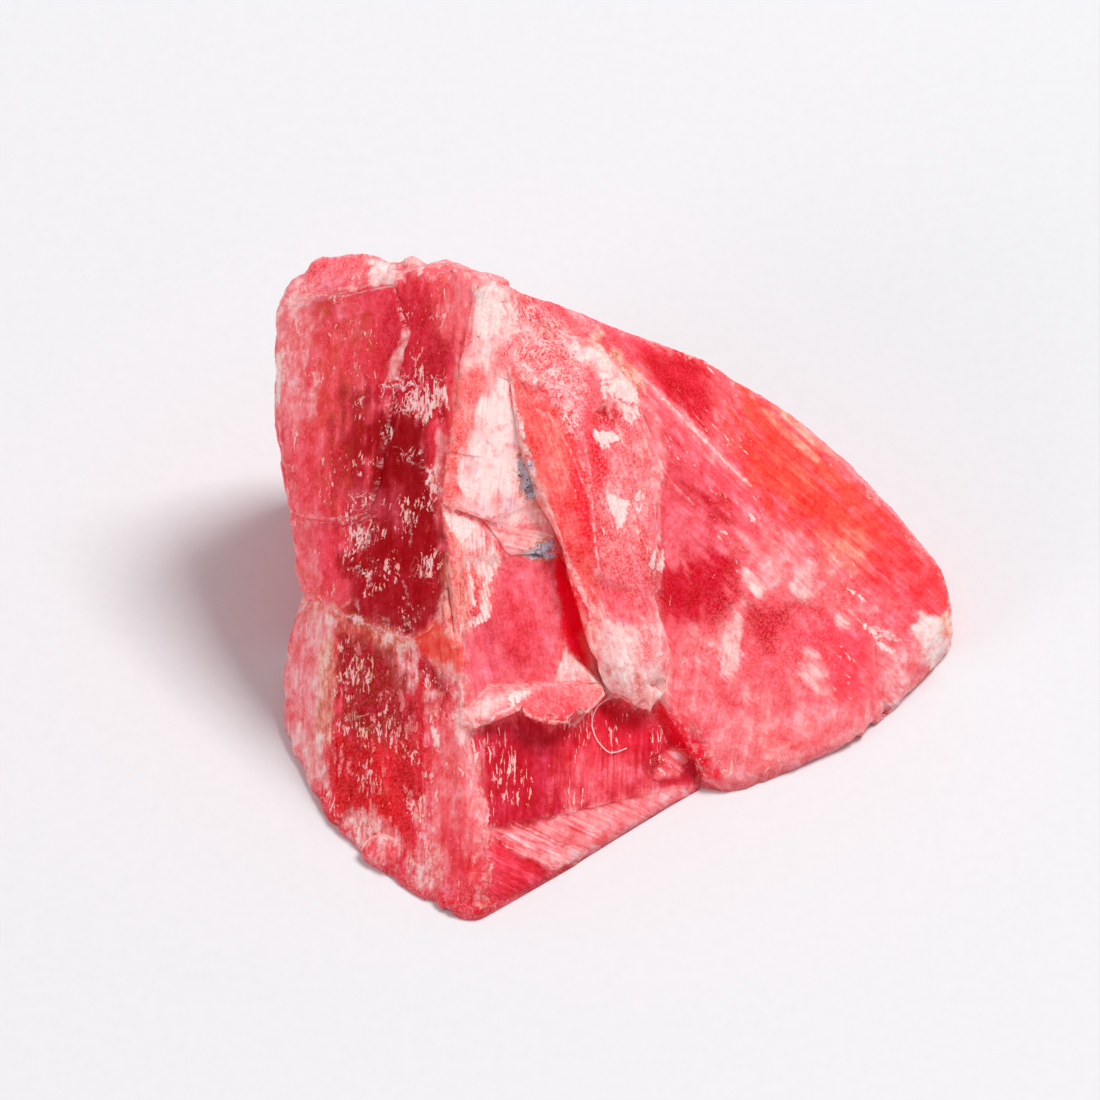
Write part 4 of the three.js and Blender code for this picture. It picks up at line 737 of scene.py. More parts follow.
# Broken edges: where two facets meet at a sharp outward angle
normals, _ = faceNormals(plain, triangles)
edges, sideEdge = edgesOf(triangles, len(plain))
sides = sideEdge.ravel()
oneFace = np.unique(sides, return_index=True)[1] // 3
otherFace = (len(sides) - 1 - np.unique(sides[::-1], return_index=True)[1]) // 3
bendCosine = (normals[oneFace] * normals[otherFace]).sum(axis=1)
centre = (plain[triangles[:, 0]] + plain[triangles[:, 1]] + plain[triangles[:, 2]]) / 3
outward = ((centre[otherFace] - centre[oneFace]) * normals[oneFace]).sum(axis=1) < 0
sharpPoints = np.unique(edges[(bendCosine < skin["edgeBend"]) & outward])
edgeTree = KDTree(len(sharpPoints))
for i, row in enumerate(sharpPoints):
    edgeTree.insert(Vector(plain[row]), i)
edgeTree.balance()
edgeDistance = np.array([edgeTree.find(Vector(p))[2] for p in plain.tolist()])
print("stage: broken edges found,", len(sharpPoints), "points")

# Borders between zones wander
wander, drift = (sum(amount * noiseAt(plain, length, offset) for length, amount, offset in skin[way])
                 for way in ("acrossWander", "upWander"))
acrossAt, upAt = across + wander, up + drift

# Grain direction, as coordinates that run across it, along it and into the stone
angle, shortness = np.full(len(plain), 90.0), np.ones(len(plain))
for _, degrees, short, outline in grainZones:
    rows = near(outline, 0.1)
    rows = rows[outlineDistance(across[rows], up[rows], outline) > 0]
    angle[rows], shortness[rows] = degrees, short
turn = np.radians(angle)
grain = np.stack([-across * np.sin(turn) + up * np.cos(turn),
                  (across * np.cos(turn) + up * np.sin(turn)) * shortness, out], 1)
breakUp = 0.5 * noiseAt(plain, 0.45, 12.5) + 0.9 * noiseAt(grain, 0.24, 17.5, (1, 0.16, 1))


def covered(outline, feather, ragged=0.0):
    # which points an outline reaches, and how far it covers each of them, 0 to 1
    rows = near(outline, 0.5 + feather)
    distance = outlineDistance(acrossAt[rows], upAt[rows], outline)
    return rows, smoothStep(-feather, feather, distance + ragged * feather * breakUp[rows])


def paint(values, rows, amounts, colour):
    k = amounts[:, None]
    values[rows] = values[rows] * (1 - k) + np.array(colour) * k


finish = np.tile(skin["plainFinish"], (len(plain), 1))
for _, streaks, flecksAndGlints, frost, facets, feather, outline in finishZones:
    rows, share = covered(outline, feather)
    paint(finish, rows, share * frontShare[rows], (streaks, flecksAndGlints, frost, facets))
streakShare = finish[:, 0]
crumple = next(zone[-1] for zone in finishZones if zone[0] == "crumple")
hackleShare = smoothStep(-0.2, 0.3, outlineDistance(acrossAt, upAt, crumple)) * frontShare
hackleShare = np.maximum(hackleShare, skin["backHackle"] * (1 - frontShare))


def relief(layer, stretch=(1, 1, 1), at=plain):
    wavelength, depth, offset = layer
    return depth * (0.5 + 0.5 * np.clip(noiseAt(at, wavelength, offset, stretch) * 1.6, -1, 1))


# Relief goes mostly inwards, and the stone stays inside its solid's box
depth = relief(skin["swell"])
wavelength, stepDepth, offset = skin["steps"]
climb = noiseAt(grain, wavelength, offset, (1, 0.22, 0.6)) * 2.2
stepped = np.floor(climb) + smoothStep(0.78, 1.0, climb - np.floor(climb))
depth += stepDepth * np.clip((stepped + 2) / 4, 0, 1) * (0.3 + 0.7 * streakShare)
depth += relief(skin["ridges"], (1, 0.07, 1), grain) * streakShare
depth += relief(skin["hackle"]) * hackleShare
wavelength, chipDepth, offset = skin["chips"]
chip = np.clip(noiseAt(plain, wavelength, offset) * 1.5 + 0.1, 0, 1)
depth += chipDepth * chip * smoothStep(0.32, 0.02, edgeDistance)
wavelength, sugarDepth, offset = skin["sugar"]
depth += sugarDepth * (0.5 + 0.5 * noiseAt(plain, wavelength, offset))
depth = (depth - skin["sink"] - skin["plump"] * softShare) * smoothStep(0.0, 0.3, plain[:, 2])
points = points - smoothNormals * depth[:, None]
points[under, 2] = 0
points = np.clip(points, np.array(cadLow) / millimetre, np.array(cadHigh) / millimetre)
print("stage: relief done")

# Body colour where no wash is laid: rose and crimson clouds, as broken rhodonite has
cloud = noiseAt(plain, 5.0, 2.2) + 0.5 * noiseAt(grain, 1.6, 5.5, (1, 0.4, 1))
bruise = noiseAt(plain, 2.6, 71.0)
tone = np.tile(tones["rose"], (len(plain), 1))
for toneName, amount, low, high, field in (
        ("raspberry", 1.0, -0.1, 0.5, cloud), ("crimson", 0.8, 0.25, 0.7, cloud),
        ("maroon", 0.7, 0.45, 0.8, cloud), ("pinkMilk", 0.8, -0.15, -0.6, cloud),
        ("coral", 0.6, 0.3, 0.6, bruise)):
    paint(tone, everyRow, amount * smoothStep(low, high, field), tones[toneName])
for _, toneName, amount, feather, outline in washes:
    rows, share = covered(outline, feather, 2.2)
    paint(tone, rows, share * amount * frontShare[rows], tones[toneName])
rustShare = np.zeros(len(plain))
for _, amount, feather, outline in rustStains:
    rows, share = covered(outline, feather)
    rustShare[rows] = np.maximum(rustShare[rows], amount * share * frontShare[rows])


def markEdge(edge, marks):
    # the distance from a crisp mark's border, positive inside it, which the material thresholds
    for _, outline in marks:
        rows = near(outline, skin["markReach"])
        distance = outlineDistance(acrossAt[rows], upAt[rows], outline)
        edge[rows] = np.maximum(edge[rows], np.where(facing[rows] > 0, distance, -skin["markReach"]))
    return edge


noMark = np.full(len(plain), -skin["markReach"])
backBruise = (0.35 * (bruise - 0.55) / 0.2).clip(-skin["markReach"], skin["markReach"])
milkEdge = markEdge(np.where(facing > 0.1, noMark, backBruise), milkPatches)
steelEdge = markEdge(noMark.copy(), steelFilms)
speckEdge = noMark.copy()
for _, radius, [(x, y)] in specks:
    distance = radius - np.hypot(across - x, up - y)
    speckEdge = np.maximum(speckEdge, np.where(facing > 0, distance, noMark))

# Veins and painted edge highlights keep the side of the line a point is on, so that a thin line stays whole
# on the mesh
veinSide, veinNear, veinWidth = np.ones(len(plain)), np.zeros(len(plain)), np.full(len(plain), 0.05)
veinReach = np.full(len(plain), 1e9)
for _, width, line in veinsAndEdgeHighlights:
    rows = near(line, 0.6)
    x, y = across[rows] + 0.3 * wander[rows], up[rows] + 0.3 * drift[rows]
    for (x0, y0), (x1, y1) in zip(line, line[1:]):
        dx, dy = x1 - x0, y1 - y0
        t = np.clip(((x - x0) * dx + (y - y0) * dy) / (dx * dx + dy * dy), 0, 1)
        reach = np.hypot(x - x0 - t * dx, y - y0 - t * dy)
        side = ((x - x0) * dy - (y - y0) * dx) / math.hypot(dx, dy)
        better = (reach < veinReach[rows]) & (facing[rows] > 0)
        hit = rows[better]
        veinReach[hit], veinSide[hit], veinWidth[hit] = reach[better], side[better], width
        veinNear[hit] = smoothStep(0.26, 0.14, reach[better])
# Broken edges are painted pale, partly as frosted wear and partly as a painted highlight, with less of it
# near the floor
rim = smoothStep(0.14, 0.0, edgeDistance) * np.where(points[:, 2] > 0.3, 1.0, 0.4)

stone = bpy.data.meshes.new("stoneSkin")
stone.from_pydata((points * millimetre).tolist(), [], triangles.tolist())
stone.shade_smooth()
stone.set_sharp_from_angle(angle=math.radians(skin["sharpAngle"]))
for name, kind, key, values in (  # what the material reads at each point
        ("tone", "FLOAT_COLOR", "color", np.hstack([tone, np.ones((len(tone), 1))])),
        ("finish", "FLOAT_COLOR", "color", finish),
        ("grain", "FLOAT_VECTOR", "vector", grain),
        ("place", "FLOAT_VECTOR", "vector", plain),
        ("vein", "FLOAT_VECTOR", "vector", np.stack([veinSide, veinNear, veinWidth], 1)),
        ("milkEdge", "FLOAT", "value", milkEdge),
        ("steelEdge", "FLOAT", "value", steelEdge),
        ("speckEdge", "FLOAT", "value", speckEdge),
        ("rust", "FLOAT", "value", rustShare),
        ("rim", "FLOAT", "value", rim)):
    stored = stone.attributes.new(name=name, type=kind, domain="POINT")
    stored.data.foreach_set(key, np.ascontiguousarray(values, dtype=np.float32).ravel())

stoneSkin = bpy.data.objects.new("stoneSkin", stone)
bpy.context.scene.collection.objects.link(stoneSkin)
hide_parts("stone")
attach(stoneSkin, "root")
print("stage: skin painted")


class Graph:
    # adds nodes to a tree and joins them, with plain values where nothing is joined
    def __init__(self, tree):
        self.tree = tree

    def node(self, kind, **settings):
        made = self.tree.nodes.new(kind)
        for key, value in settings.items():
            setattr(made, key, value)
        return made

    def feed(self, socket, value):
        if isinstance(value, bpy.types.NodeSocket):
            self.tree.links.new(value, socket)
        else:
            socket.default_value = value

    def fed(self, made, **values):
        # feeds sockets by name, with _ for a space, and returns what comes out
        for name, value in values.items():
            self.feed(made.inputs[name.replace("_", " ")], value)
        return made.outputs

    def math(self, operation, *values, clamp=False):
        made = self.node("ShaderNodeMath", operation=operation, use_clamp=clamp)
        for socket, value in zip(made.inputs, values):
            self.feed(socket, value)
        return made.outputs[0]

    def times(self, *values):
        total = values[0]
        for value in values[1:]:
            total = self.math("MULTIPLY", total, value, clamp=True)
        return total

    def ramp(self, value, low, high, toLow=0.0, toHigh=1.0, smooth=True):
        made = self.node("ShaderNodeMapRange", interpolation_type="SMOOTHSTEP" if smooth else "LINEAR")
        return self.fed(made, Value=value, From_Min=low, From_Max=high, To_Min=toLow, To_Max=toHigh)[0]

    def mix(self, share, a, b, blend="MIX"):
        made = self.node("ShaderNodeMix", data_type="RGBA", blend_type=blend)
        self.feed(made.inputs[0], share)
        for socket, value in ((made.inputs[6], a), (made.inputs[7], b)):
            self.feed(socket, (*value, 1) if isinstance(value, tuple) and len(value) == 3 else value)
        return made.outputs[2]

    def noise(self, place, scale, detail=3.0, roughness=0.55, distortion=0.0):
        made = self.node("ShaderNodeTexNoise")
        return self.fed(made, Vector=place, Scale=scale, Detail=detail, Roughness=roughness,
                        Distortion=distortion)[0]

    def drawnOut(self, place, along, inwards=1.0):
        # the same place with its noise drawn out along the grain
        factors = self.node("ShaderNodeCombineXYZ")
        made = self.node("ShaderNodeVectorMath", operation="MULTIPLY")
        self.feed(made.inputs[0], place)
        self.feed(made.inputs[1], self.fed(factors, X=1.0, Y=along, Z=inwards)[0])
        return made.outputs[0]

    def attribute(self, name, output="Fac"):
        return self.node("ShaderNodeAttribute", attribute_name=name).outputs[output]

    def group(self, tree, **values):
        return self.fed(self.node("ShaderNodeGroup", node_tree=tree), **values)


def newGroup(name, place, numbers, results):
    # place names the vector that the group reads, if any; numbers are its values to set
    tree = bpy.data.node_groups.new(name, "ShaderNodeTree")
    if place:
        tree.interface.new_socket(name=place, in_out="INPUT", socket_type="NodeSocketVector")
    for title, value in numbers.items():
        socket = tree.interface.new_socket(name=title, in_out="INPUT", socket_type="NodeSocketFloat")
        socket.default_value = value
    for title in results:
        tree.interface.new_socket(name=title, in_out="OUTPUT", socket_type="NodeSocketFloat")
    g = Graph(tree)
    return tree, g, g.node("NodeGroupInput").outputs, g.node("NodeGroupOutput").inputs


# Lines that run with the grain: pale ones, dark ones and their height
streakLines, g, given, result = newGroup(
    "streakLines", "Grain", {"Fineness": 5.0, "Stretch": 0.06, "Spread": 0.1}, ["Pale", "Dark", "Height"])
line = g.noise(g.drawnOut(given["Grain"], given["Stretch"], 0.15), given["Fineness"], 2.0, 0.6)
g.feed(result["Pale"], g.ramp(line, 0.52, g.math("ADD", 0.54, given["Spread"])))
g.feed(result["Dark"], g.ramp(line, 0.48, g.math("SUBTRACT", 0.46, given["Spread"])))
g.feed(result["Height"], line)

# Scattered flecks, more of them as Density rises, and in clusters
fleckScatter, g, given, result = newGroup(
    "fleckScatter", "Grain", {"Fineness": 6.0, "Stretch": 0.4, "Density": 0.5}, ["Mask"])
fleck = g.noise(g.drawnOut(given["Grain"], given["Stretch"]), given["Fineness"], 3.0, 0.65, 0.5)
cluster = g.noise(given["Grain"], 0.9, 0.0)
threshold = g.math("SUBTRACT", 0.86, g.math("MULTIPLY", given["Density"], 0.13))
threshold = g.math("SUBTRACT", threshold, g.ramp(cluster, 0.35, 0.65, 0.0, 0.13))
g.feed(result["Mask"], g.ramp(fleck, threshold, g.math("ADD", threshold, 0.03)))

# Fine wandering lines, as on a crumpled break
laceLines, g, given, result = newGroup("laceLines", "Place", {"Fineness": 3.0, "Width": 0.03}, ["Mask"])
lace = g.noise(given["Place"], given["Fineness"], 2.0, 0.6, 1.2)
g.feed(result["Mask"], g.ramp(g.math("ABSOLUTE", g.math("SUBTRACT", lace, 0.5)), given["Width"], 0.0))

# Angular crystal grains of uneven tone
crystalCells, g, given, result = newGroup(
    "crystalCells", "Grain", {"Fineness": 2.0, "Stretch": 0.45}, ["Value"])
cellPlace = g.drawnOut(given["Grain"], given["Stretch"])
bend = g.fed(g.node("ShaderNodeTexNoise"), Vector=cellPlace, Scale=3.0)["Color"]
bent = g.node("ShaderNodeVectorMath", operation="MULTIPLY_ADD")
for socket, value in zip(bent.inputs, (bend, (0.35, 0.35, 0.35), cellPlace)):
    g.feed(socket, value)
cells = g.node("ShaderNodeTexVoronoi", feature="F1")
cellTone = g.fed(cells, Vector=bent.outputs[0], Scale=given["Fineness"])["Color"]
g.feed(result["Value"], g.fed(g.node("ShaderNodeSeparateColor"), Color=cellTone)[0])

# A ragged border from a distance in mm
raggedEdge, g, given, result = newGroup(
    "raggedEdge", None, {"Distance": 0.0, "Wander": 0.5, "Ragged": 0.08, "Softness": 0.03}, ["Mask"])
reach = g.math("MULTIPLY", given["Ragged"], 3.0)
wobble = g.math("MULTIPLY", g.math("SUBTRACT", given["Wander"], 0.5), reach)
border = g.math("ADD", given["Distance"], wobble)
g.feed(result["Mask"], g.ramp(border, g.math("MULTIPLY", given["Softness"], -1.0), given["Softness"]))

# Cloudy depth and fine crystalline mottle: fineness, detail and roughness of each
crystalGrain, g, given, result = newGroup(
    "crystalGrain", "Place", {"Cloud Size": 1.1, "Grain Size": 0.12}, ["Cloud", "Patch", "Mottle", "Fine"])
for title, size, fineness, detail, roughness in (
        ("Cloud", "Cloud Size", 1.0, 2.0, 0.6), ("Patch", "Cloud Size", 2.4, 3.0, 0.65),
        ("Mottle", "Grain Size", 0.6, 3.0, 0.7), ("Fine", "Grain Size", 1.6, 1.0, 0.7)):
    g.feed(result[title], g.noise(given["Place"], g.math("DIVIDE", fineness, given[size]), detail, roughness))

# What a user may change about the stone's finish
stoneFinish = {
    "refraction": 1.73, "gloss": 0.035, "translucency": 0.30, "glowReach": (0.0018, 0.00022, 0.0002),
    "glassRoughness": 0.24, "frostRoughness": 0.62, "reliefStrength": 0.7, "reliefDepth": 0.00004,
    "deeper": (0.86, 0.28, 0.34),       # a darker, redder tone is the tone times this
    "paler": (1.12, 1.9, 1.85),         # a paler one is the tone times this,
    "palerLift": (0.03, 0.006, 0.008),  # plus this,
    "palest": (1.0, 0.79, 0.76),        # and never above this
    "broadLines": {"Fineness": 4.0, "Stretch": 0.10, "Spread": 0.14},
    "fineLines": {"Fineness": 11.0, "Stretch": 0.10, "Spread": 0.10},
    "flecksAndGlints": {"Fineness": 3.6, "Stretch": 0.4},
    "crumbs": {"Fineness": 9.0, "Stretch": 0.35},
    "plumes": {"Fineness": 6.0, "Stretch": 0.25},
    "strands": {"Fineness": 1.7, "Width": 0.035},
    "lace": {"Fineness": 2.2, "Width": 0.06},
    "bigCells": {"Fineness": 1.5, "Stretch": 0.5},
    "smallCells": {"Fineness": 6.0, "Stretch": 0.5},
    "veinEdge": {"Ragged": 0.07, "Softness": 0.03},
    "milkEdge": {"Ragged": 0.09, "Softness": 0.035},
    "steelEdge": {"Ragged": 0.16, "Softness": 0.05},
    "speckEdge": {"Ragged": 0.05, "Softness": 0.02},
    # how strongly each shows, 0 to 1
    "cloudStrength": 0.5, "patchStrength": 0.6, "bigCellStrength": 0.56, "smallCellStrength": 0.64,
    "chipAndGlintStrength": 0.7, "streakStrength": 0.8, "frostStrength": 0.6, "laceStrength": 0.85,
    "fleckAndGlintStrength": 0.9, "crumbStrength": 0.9, "haloStrength": 0.8, "rimWearAndGlintStrength": 0.5,
    "steelShine": 0.3,
}

material = bpy.data.materials.new("roughRhodonite")
material.use_nodes = True
material.node_tree.nodes.clear()
g = Graph(material.node_tree)
shader = g.node("ShaderNodeBsdfPrincipled")
g.feed(g.node("ShaderNodeOutputMaterial").inputs[0], shader.outputs[0])
place, grainAt = g.attribute("place", "Vector"), g.attribute("grain", "Vector")
finishParts = g.fed(g.node("ShaderNodeSeparateColor"), Color=g.attribute("finish", "Color"))
streakAmount, fleckAndGlintAmount, frostAmount = finishParts[:3]
facetAmount = g.attribute("finish", "Alpha")
body = g.group(crystalGrain, Place=place)
borderNoise = g.noise(place, 7.0, 2.0, 0.65)
broad, finer = (
    g.group(streakLines, Grain=grainAt, **stoneFinish[name]) for name in ("broadLines", "fineLines"))
flecksAndGlints, crumbs, plumes = (
    g.group(fleckScatter, Grain=grainAt, Density=density, **stoneFinish[name])["Mask"]
    for name, density in (("flecksAndGlints", fleckAndGlintAmount), ("crumbs", g.math("MULTIPLY", fleckAndGlintAmount, 1.3)),
                          ("plumes", g.ramp(fleckAndGlintAmount, 0.9, 1.3, 0.0, 2.0))))
strands, lace = (
    g.group(laceLines, Place=grainAt, **stoneFinish[name])["Mask"] for name in ("strands", "lace"))
bigCells, smallCells = (
    g.group(crystalCells, Grain=grainAt, **stoneFinish[name])["Value"] for name in ("bigCells", "smallCells"))


def deepened(colourIn, share):
    return g.mix(share, colourIn, g.mix(1.0, colourIn, stoneFinish["deeper"], "MULTIPLY"))


def lightened(colourIn, share):
    # paler in the tone's own measure, so that the dark ground stays dark
    raised = g.mix(1.0, colourIn, stoneFinish["paler"], "MULTIPLY")
    raised = g.mix(1.0, raised, stoneFinish["palerLift"], "ADD")
    return g.mix(share, colourIn, g.mix(1.0, raised, stoneFinish["palest"], "DARKEN"))


def masked(name, distance):
    return g.group(raggedEdge, Distance=distance, Wander=borderNoise, **stoneFinish[name])["Mask"]


# darker, redder clouds against paler ones
base = g.attribute("tone", "Color")
for field, reach, strength in ((body["Cloud"], 0.2, "cloudStrength"), (body["Patch"], 0.18, "patchStrength")):
    base = deepened(base, g.ramp(field, 0.5, 0.5 + reach, 0.0, stoneFinish[strength]))
    base = lightened(base, g.ramp(field, 0.5, 0.5 - reach, 0.0, stoneFinish[strength]))
# angular grains, darker and paler, and pale chips on the few that catch the light: partly the stone's own
# grain, partly painted highlights
for cell, strength in ((bigCells, "bigCellStrength"), (smallCells, "smallCellStrength")):
    amount = g.times(facetAmount, stoneFinish[strength])
    base = deepened(base, g.times(g.ramp(cell, 0.35, 0.0), amount))
    base = lightened(base, g.times(g.ramp(cell, 0.6, 1.0), amount))
chips = g.times(g.ramp(smallCells, 0.88, 0.95), g.ramp(facetAmount, 0.4, 1.0),
                g.ramp(body["Mottle"], 0.42, 0.55))
base = g.mix(g.times(chips, stoneFinish["chipAndGlintStrength"]), base, tones["blush"])
speckled = g.times(g.ramp(facetAmount, 0.0, 1.0, 0.25, 0.9, smooth=False),
                   g.ramp(streakAmount, 1.3, 1.6, 1.0, 0.3))
base = deepened(base, g.times(g.ramp(body["Mottle"], 0.52, 0.66), speckled))
base = lightened(base, g.times(g.ramp(body["Mottle"], 0.48, 0.34), speckled))
# grain lines: broad ones give way to fine ones where the streaks are strongest
broadAmount = g.times(streakAmount, g.ramp(streakAmount, 1.0, 1.5, 0.35, 0.0))
finerAmount = g.math("MINIMUM", streakAmount, 1.0)
for lines, share in ((broad, broadAmount), (finer, finerAmount)):
    amount = g.times(share, stoneFinish["streakStrength"])
    base = lightened(base, g.times(lines["Pale"], amount))
    base = deepened(base, g.times(lines["Dark"], amount))
# frost, with lace where it is thick
frosty = g.times(g.ramp(body["Fine"], 0.42, 0.62), frostAmount)
base = g.mix(g.times(frosty, stoneFinish["frostStrength"]), base, tones["pale"])
laceMask = g.times(lace, g.ramp(frostAmount, 0.5, 1.0), g.ramp(body["Mottle"], 0.40, 0.54),
                   stoneFinish["laceStrength"])
base = g.mix(laceMask, base, tones["milk"])
# flecks, partly the stone's white flaws and partly painted glints, then crumbs, and the plumes and strands of
# the densest zones
fleckAndGlintMask = g.times(flecksAndGlints, g.ramp(body["Mottle"], 0.35, 0.5), stoneFinish["fleckAndGlintStrength"])
base = g.mix(fleckAndGlintMask, base, tones["pale"])
crumbTone = g.mix(g.ramp(body["Patch"], 0.52, 0.58), tones["pale"], tones["peach"])
base = g.mix(g.times(crumbs, stoneFinish["crumbStrength"]), base, crumbTone)
strandMask = g.times(strands, g.ramp(fleckAndGlintAmount, 1.05, 1.25), g.ramp(body["Mottle"], 0.36, 0.5))
plumeMask = g.math("MAXIMUM", g.times(plumes, g.ramp(body["Fine"], 0.3, 0.5, 0.45, 0.9)), strandMask)
plumeTone = g.mix(g.ramp(body["Mottle"], 0.4, 0.6), tones["pale"], tones["milk"])
base = g.mix(g.times(plumeMask, g.ramp(fleckAndGlintAmount, 0.9, 1.0)), base, plumeTone)
# veins, and the painted highlights along lit edges
veinSide, veinNear, veinWidth = g.fed(g.node("ShaderNodeSeparateXYZ"), Vector=g.attribute("vein", "Vector"))
inVein = g.math("SUBTRACT", g.math("MULTIPLY", veinWidth, 0.4), g.math("ABSOLUTE", veinSide))
veinAndHighlightMask = g.times(masked("veinEdge", inVein), veinNear, g.ramp(body["Mottle"], 0.35, 0.6, 0.15, 0.9),
                   g.ramp(veinWidth, 0.03, 0.12, 0.4, 1.0))
base = g.mix(veinAndHighlightMask, base, tones["milk"])
# bruised white patches, streaked inside, and the pale line painted as light along the finger's left edge
milkMask = masked("milkEdge", g.attribute("milkEdge"))
milkTone = g.mix(g.ramp(body["Fine"], 0.35, 0.65), tones["pale"], tones["milk"])
base = g.mix(g.times(milkMask, g.ramp(finer["Height"], 0.38, 0.52, 0.45, 1.0)), base, milkTone)
# stains, then grey films with a rusty halo, then specks
rustMask = g.times(g.attribute("rust"), g.ramp(body["Mottle"], 0.42, 0.58), g.ramp(body["Patch"], 0.4, 0.55))
base = g.mix(rustMask, base, tones["rust"])
steelAt = g.attribute("steelEdge")
steelMask = g.times(masked("steelEdge", steelAt), g.ramp(body["Fine"], 0.3, 0.5, 0.5, 0.95))
halo = g.times(g.ramp(steelAt, -0.26, 0.0), g.ramp(body["Mottle"], 0.48, 0.58), stoneFinish["haloStrength"])
base = g.mix(halo, base, tones["rust"])
steelTone = g.mix(g.ramp(body["Mottle"], 0.40, 0.52), tones["steel"], tones["ice"])
steelTone = g.mix(g.ramp(body["Fine"], 0.60, 0.66), steelTone, tones["ink"])
base = g.mix(steelMask, base, steelTone)
base = g.mix(masked("speckEdge", g.attribute("speckEdge")), base, tones["ink"])
# broken edges turn pale: partly frosted wear, partly a painted highlight where they catch the light
rimWearAndGlintMask = g.times(g.attribute("rim"), g.ramp(body["Mottle"], 0.46, 0.6), stoneFinish["rimWearAndGlintStrength"])
base = g.mix(rimWearAndGlintMask, base, tones["pale"])

rough = g.ramp(g.math("MAXIMUM", frosty, milkMask), 0.0, 1.0, stoneFinish["glassRoughness"],
               stoneFinish["frostRoughness"], smooth=False)
unevenness = g.math("MULTIPLY", g.math("SUBTRACT", body["Fine"], 0.5), 0.25)
height = g.math("ADD", g.times(finer["Height"], finerAmount), g.math("MULTIPLY", body["Fine"], 0.35))
height = g.math("ADD", height, g.math("MULTIPLY", body["Mottle"], 0.5))
bump = g.fed(g.node("ShaderNodeBump"), Strength=stoneFinish["reliefStrength"],
             Distance=stoneFinish["reliefDepth"], Height=height)[0]
g.fed(shader, Base_Color=base, Roughness=g.math("ADD", rough, unevenness, clamp=True),
      Metallic=g.times(steelMask, stoneFinish["steelShine"]), Normal=bump, IOR=stoneFinish["refraction"],
      Specular_IOR_Level=stoneFinish["gloss"], Subsurface_Weight=stoneFinish["translucency"],
      Subsurface_Radius=stoneFinish["glowReach"], Subsurface_Scale=1.0)
stone.materials.append(material)
print("stage: stone finish made")

# A curled lint fibre lies on the dark face under the finger's end; lengths in mm
fibre = {
    "width": 0.035, "lift": 0.012, "sides": 6, "endTaper": 0.35, "tone": rgb(250, 226, 224),
    "steps": 90,     # rings along it
    "stiffness": 6,  # rings over which it evens out the stone's relief
    "grain": 9000.0,
    "path": [(0.3, -2.94), (-0.06, -3.18), (-0.24, -3.66), (-0.12, -4.14), (0.21, -4.53), (0.48, -4.56),
             (0.81, -4.44)],
}
surface = BVHTree.FromPolygons([tuple(p) for p in points.tolist()], triangles.tolist())


def surfaceBelow(x, y):
    # where a line straight into the front meets the stone, in mm out
    hit = surface.ray_cast(Vector(fromFront(x, y, 40.0)), Vector(-outAxis))[0]
    return float((np.array(hit) - front["shift"]) @ outAxis)


def curvedThrough(corners, steps):
    # a smooth line through the corners
    last = len(corners) - 1
    line = []
    for s in np.linspace(0, last, steps):
        i = min(int(s), last - 1)
        t = s - i
        p0, p1, p2, p3 = (corners[np.clip(i + k, 0, last)] for k in (-1, 0, 1, 2))
        line.append(0.5 * (2 * p1 + (p2 - p0) * t + (2 * p0 - 5 * p1 + 4 * p2 - p3) * t * t
                           + (3 * p1 - p0 - 3 * p2 + p3) * t ** 3))
    return line


def buildFibre():
    line = curvedThrough(np.array(fibre["path"]), fibre["steps"])
    reach, n = fibre["stiffness"], fibre["sides"]
    heights = np.array([surfaceBelow(x, y) for x, y in line])
    highest = np.array([heights[max(0, i - reach):i + reach + 1].max() for i in range(len(heights))])
    window = 2 * reach + 1
    even = np.convolve(np.pad(highest, reach, mode="edge"), np.ones(window) / window, mode="valid")
    heights = np.maximum(even, heights) + fibre["lift"]
    middle = np.array([fromFront(x, y, w) for (x, y), w in zip(line, heights)])
    last = len(middle) - 1
    corners = []
    for i, centre in enumerate(middle):
        ahead = middle[min(i + 1, last)] - middle[max(i - 1, 0)]
        side = np.cross(ahead, outAxis)
        side /= np.linalg.norm(side)
        lift = np.cross(side, ahead)
        lift /= np.linalg.norm(lift)
        radius = 0.5 * fibre["width"] * (fibre["endTaper"] if i in (0, last) else 1)
        for a in (2 * math.pi * k / n for k in range(n)):
            corners.append(centre + radius * (side * math.cos(a) + lift * math.sin(a)))
    faces = [(i * n + k, i * n + (k + 1) % n, (i + 1) * n + (k + 1) % n, (i + 1) * n + k)
             for i in range(last) for k in range(n)]
    faces += [tuple(reversed(range(n))), tuple(range(last * n, last * n + n))]
    made = bpy.data.meshes.new("lintFibre")
    made.from_pydata((np.array(corners) * millimetre).tolist(), [], faces)
    made.shade_smooth()
    return made


lintFibre = bpy.data.objects.new("lintFibre", buildFibre())
bpy.context.scene.collection.objects.link(lintFibre)
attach(lintFibre, "root")
lintMaterial = bpy.data.materials.new("paleLint")
lintMaterial.use_nodes = True
g = Graph(lintMaterial.node_tree)
thread = g.noise(g.node("ShaderNodeTexCoord").outputs["Object"], fibre["grain"], 3.0)
g.fed(lintMaterial.node_tree.nodes["Principled BSDF"],
      Base_Color=g.mix(thread, fibre["tone"], tones["pale"]), Roughness=g.ramp(thread, 0.3, 0.7, 0.6, 0.8))
lintFibre.data.materials.append(lintMaterial)
print("stage: lint fibre laid")

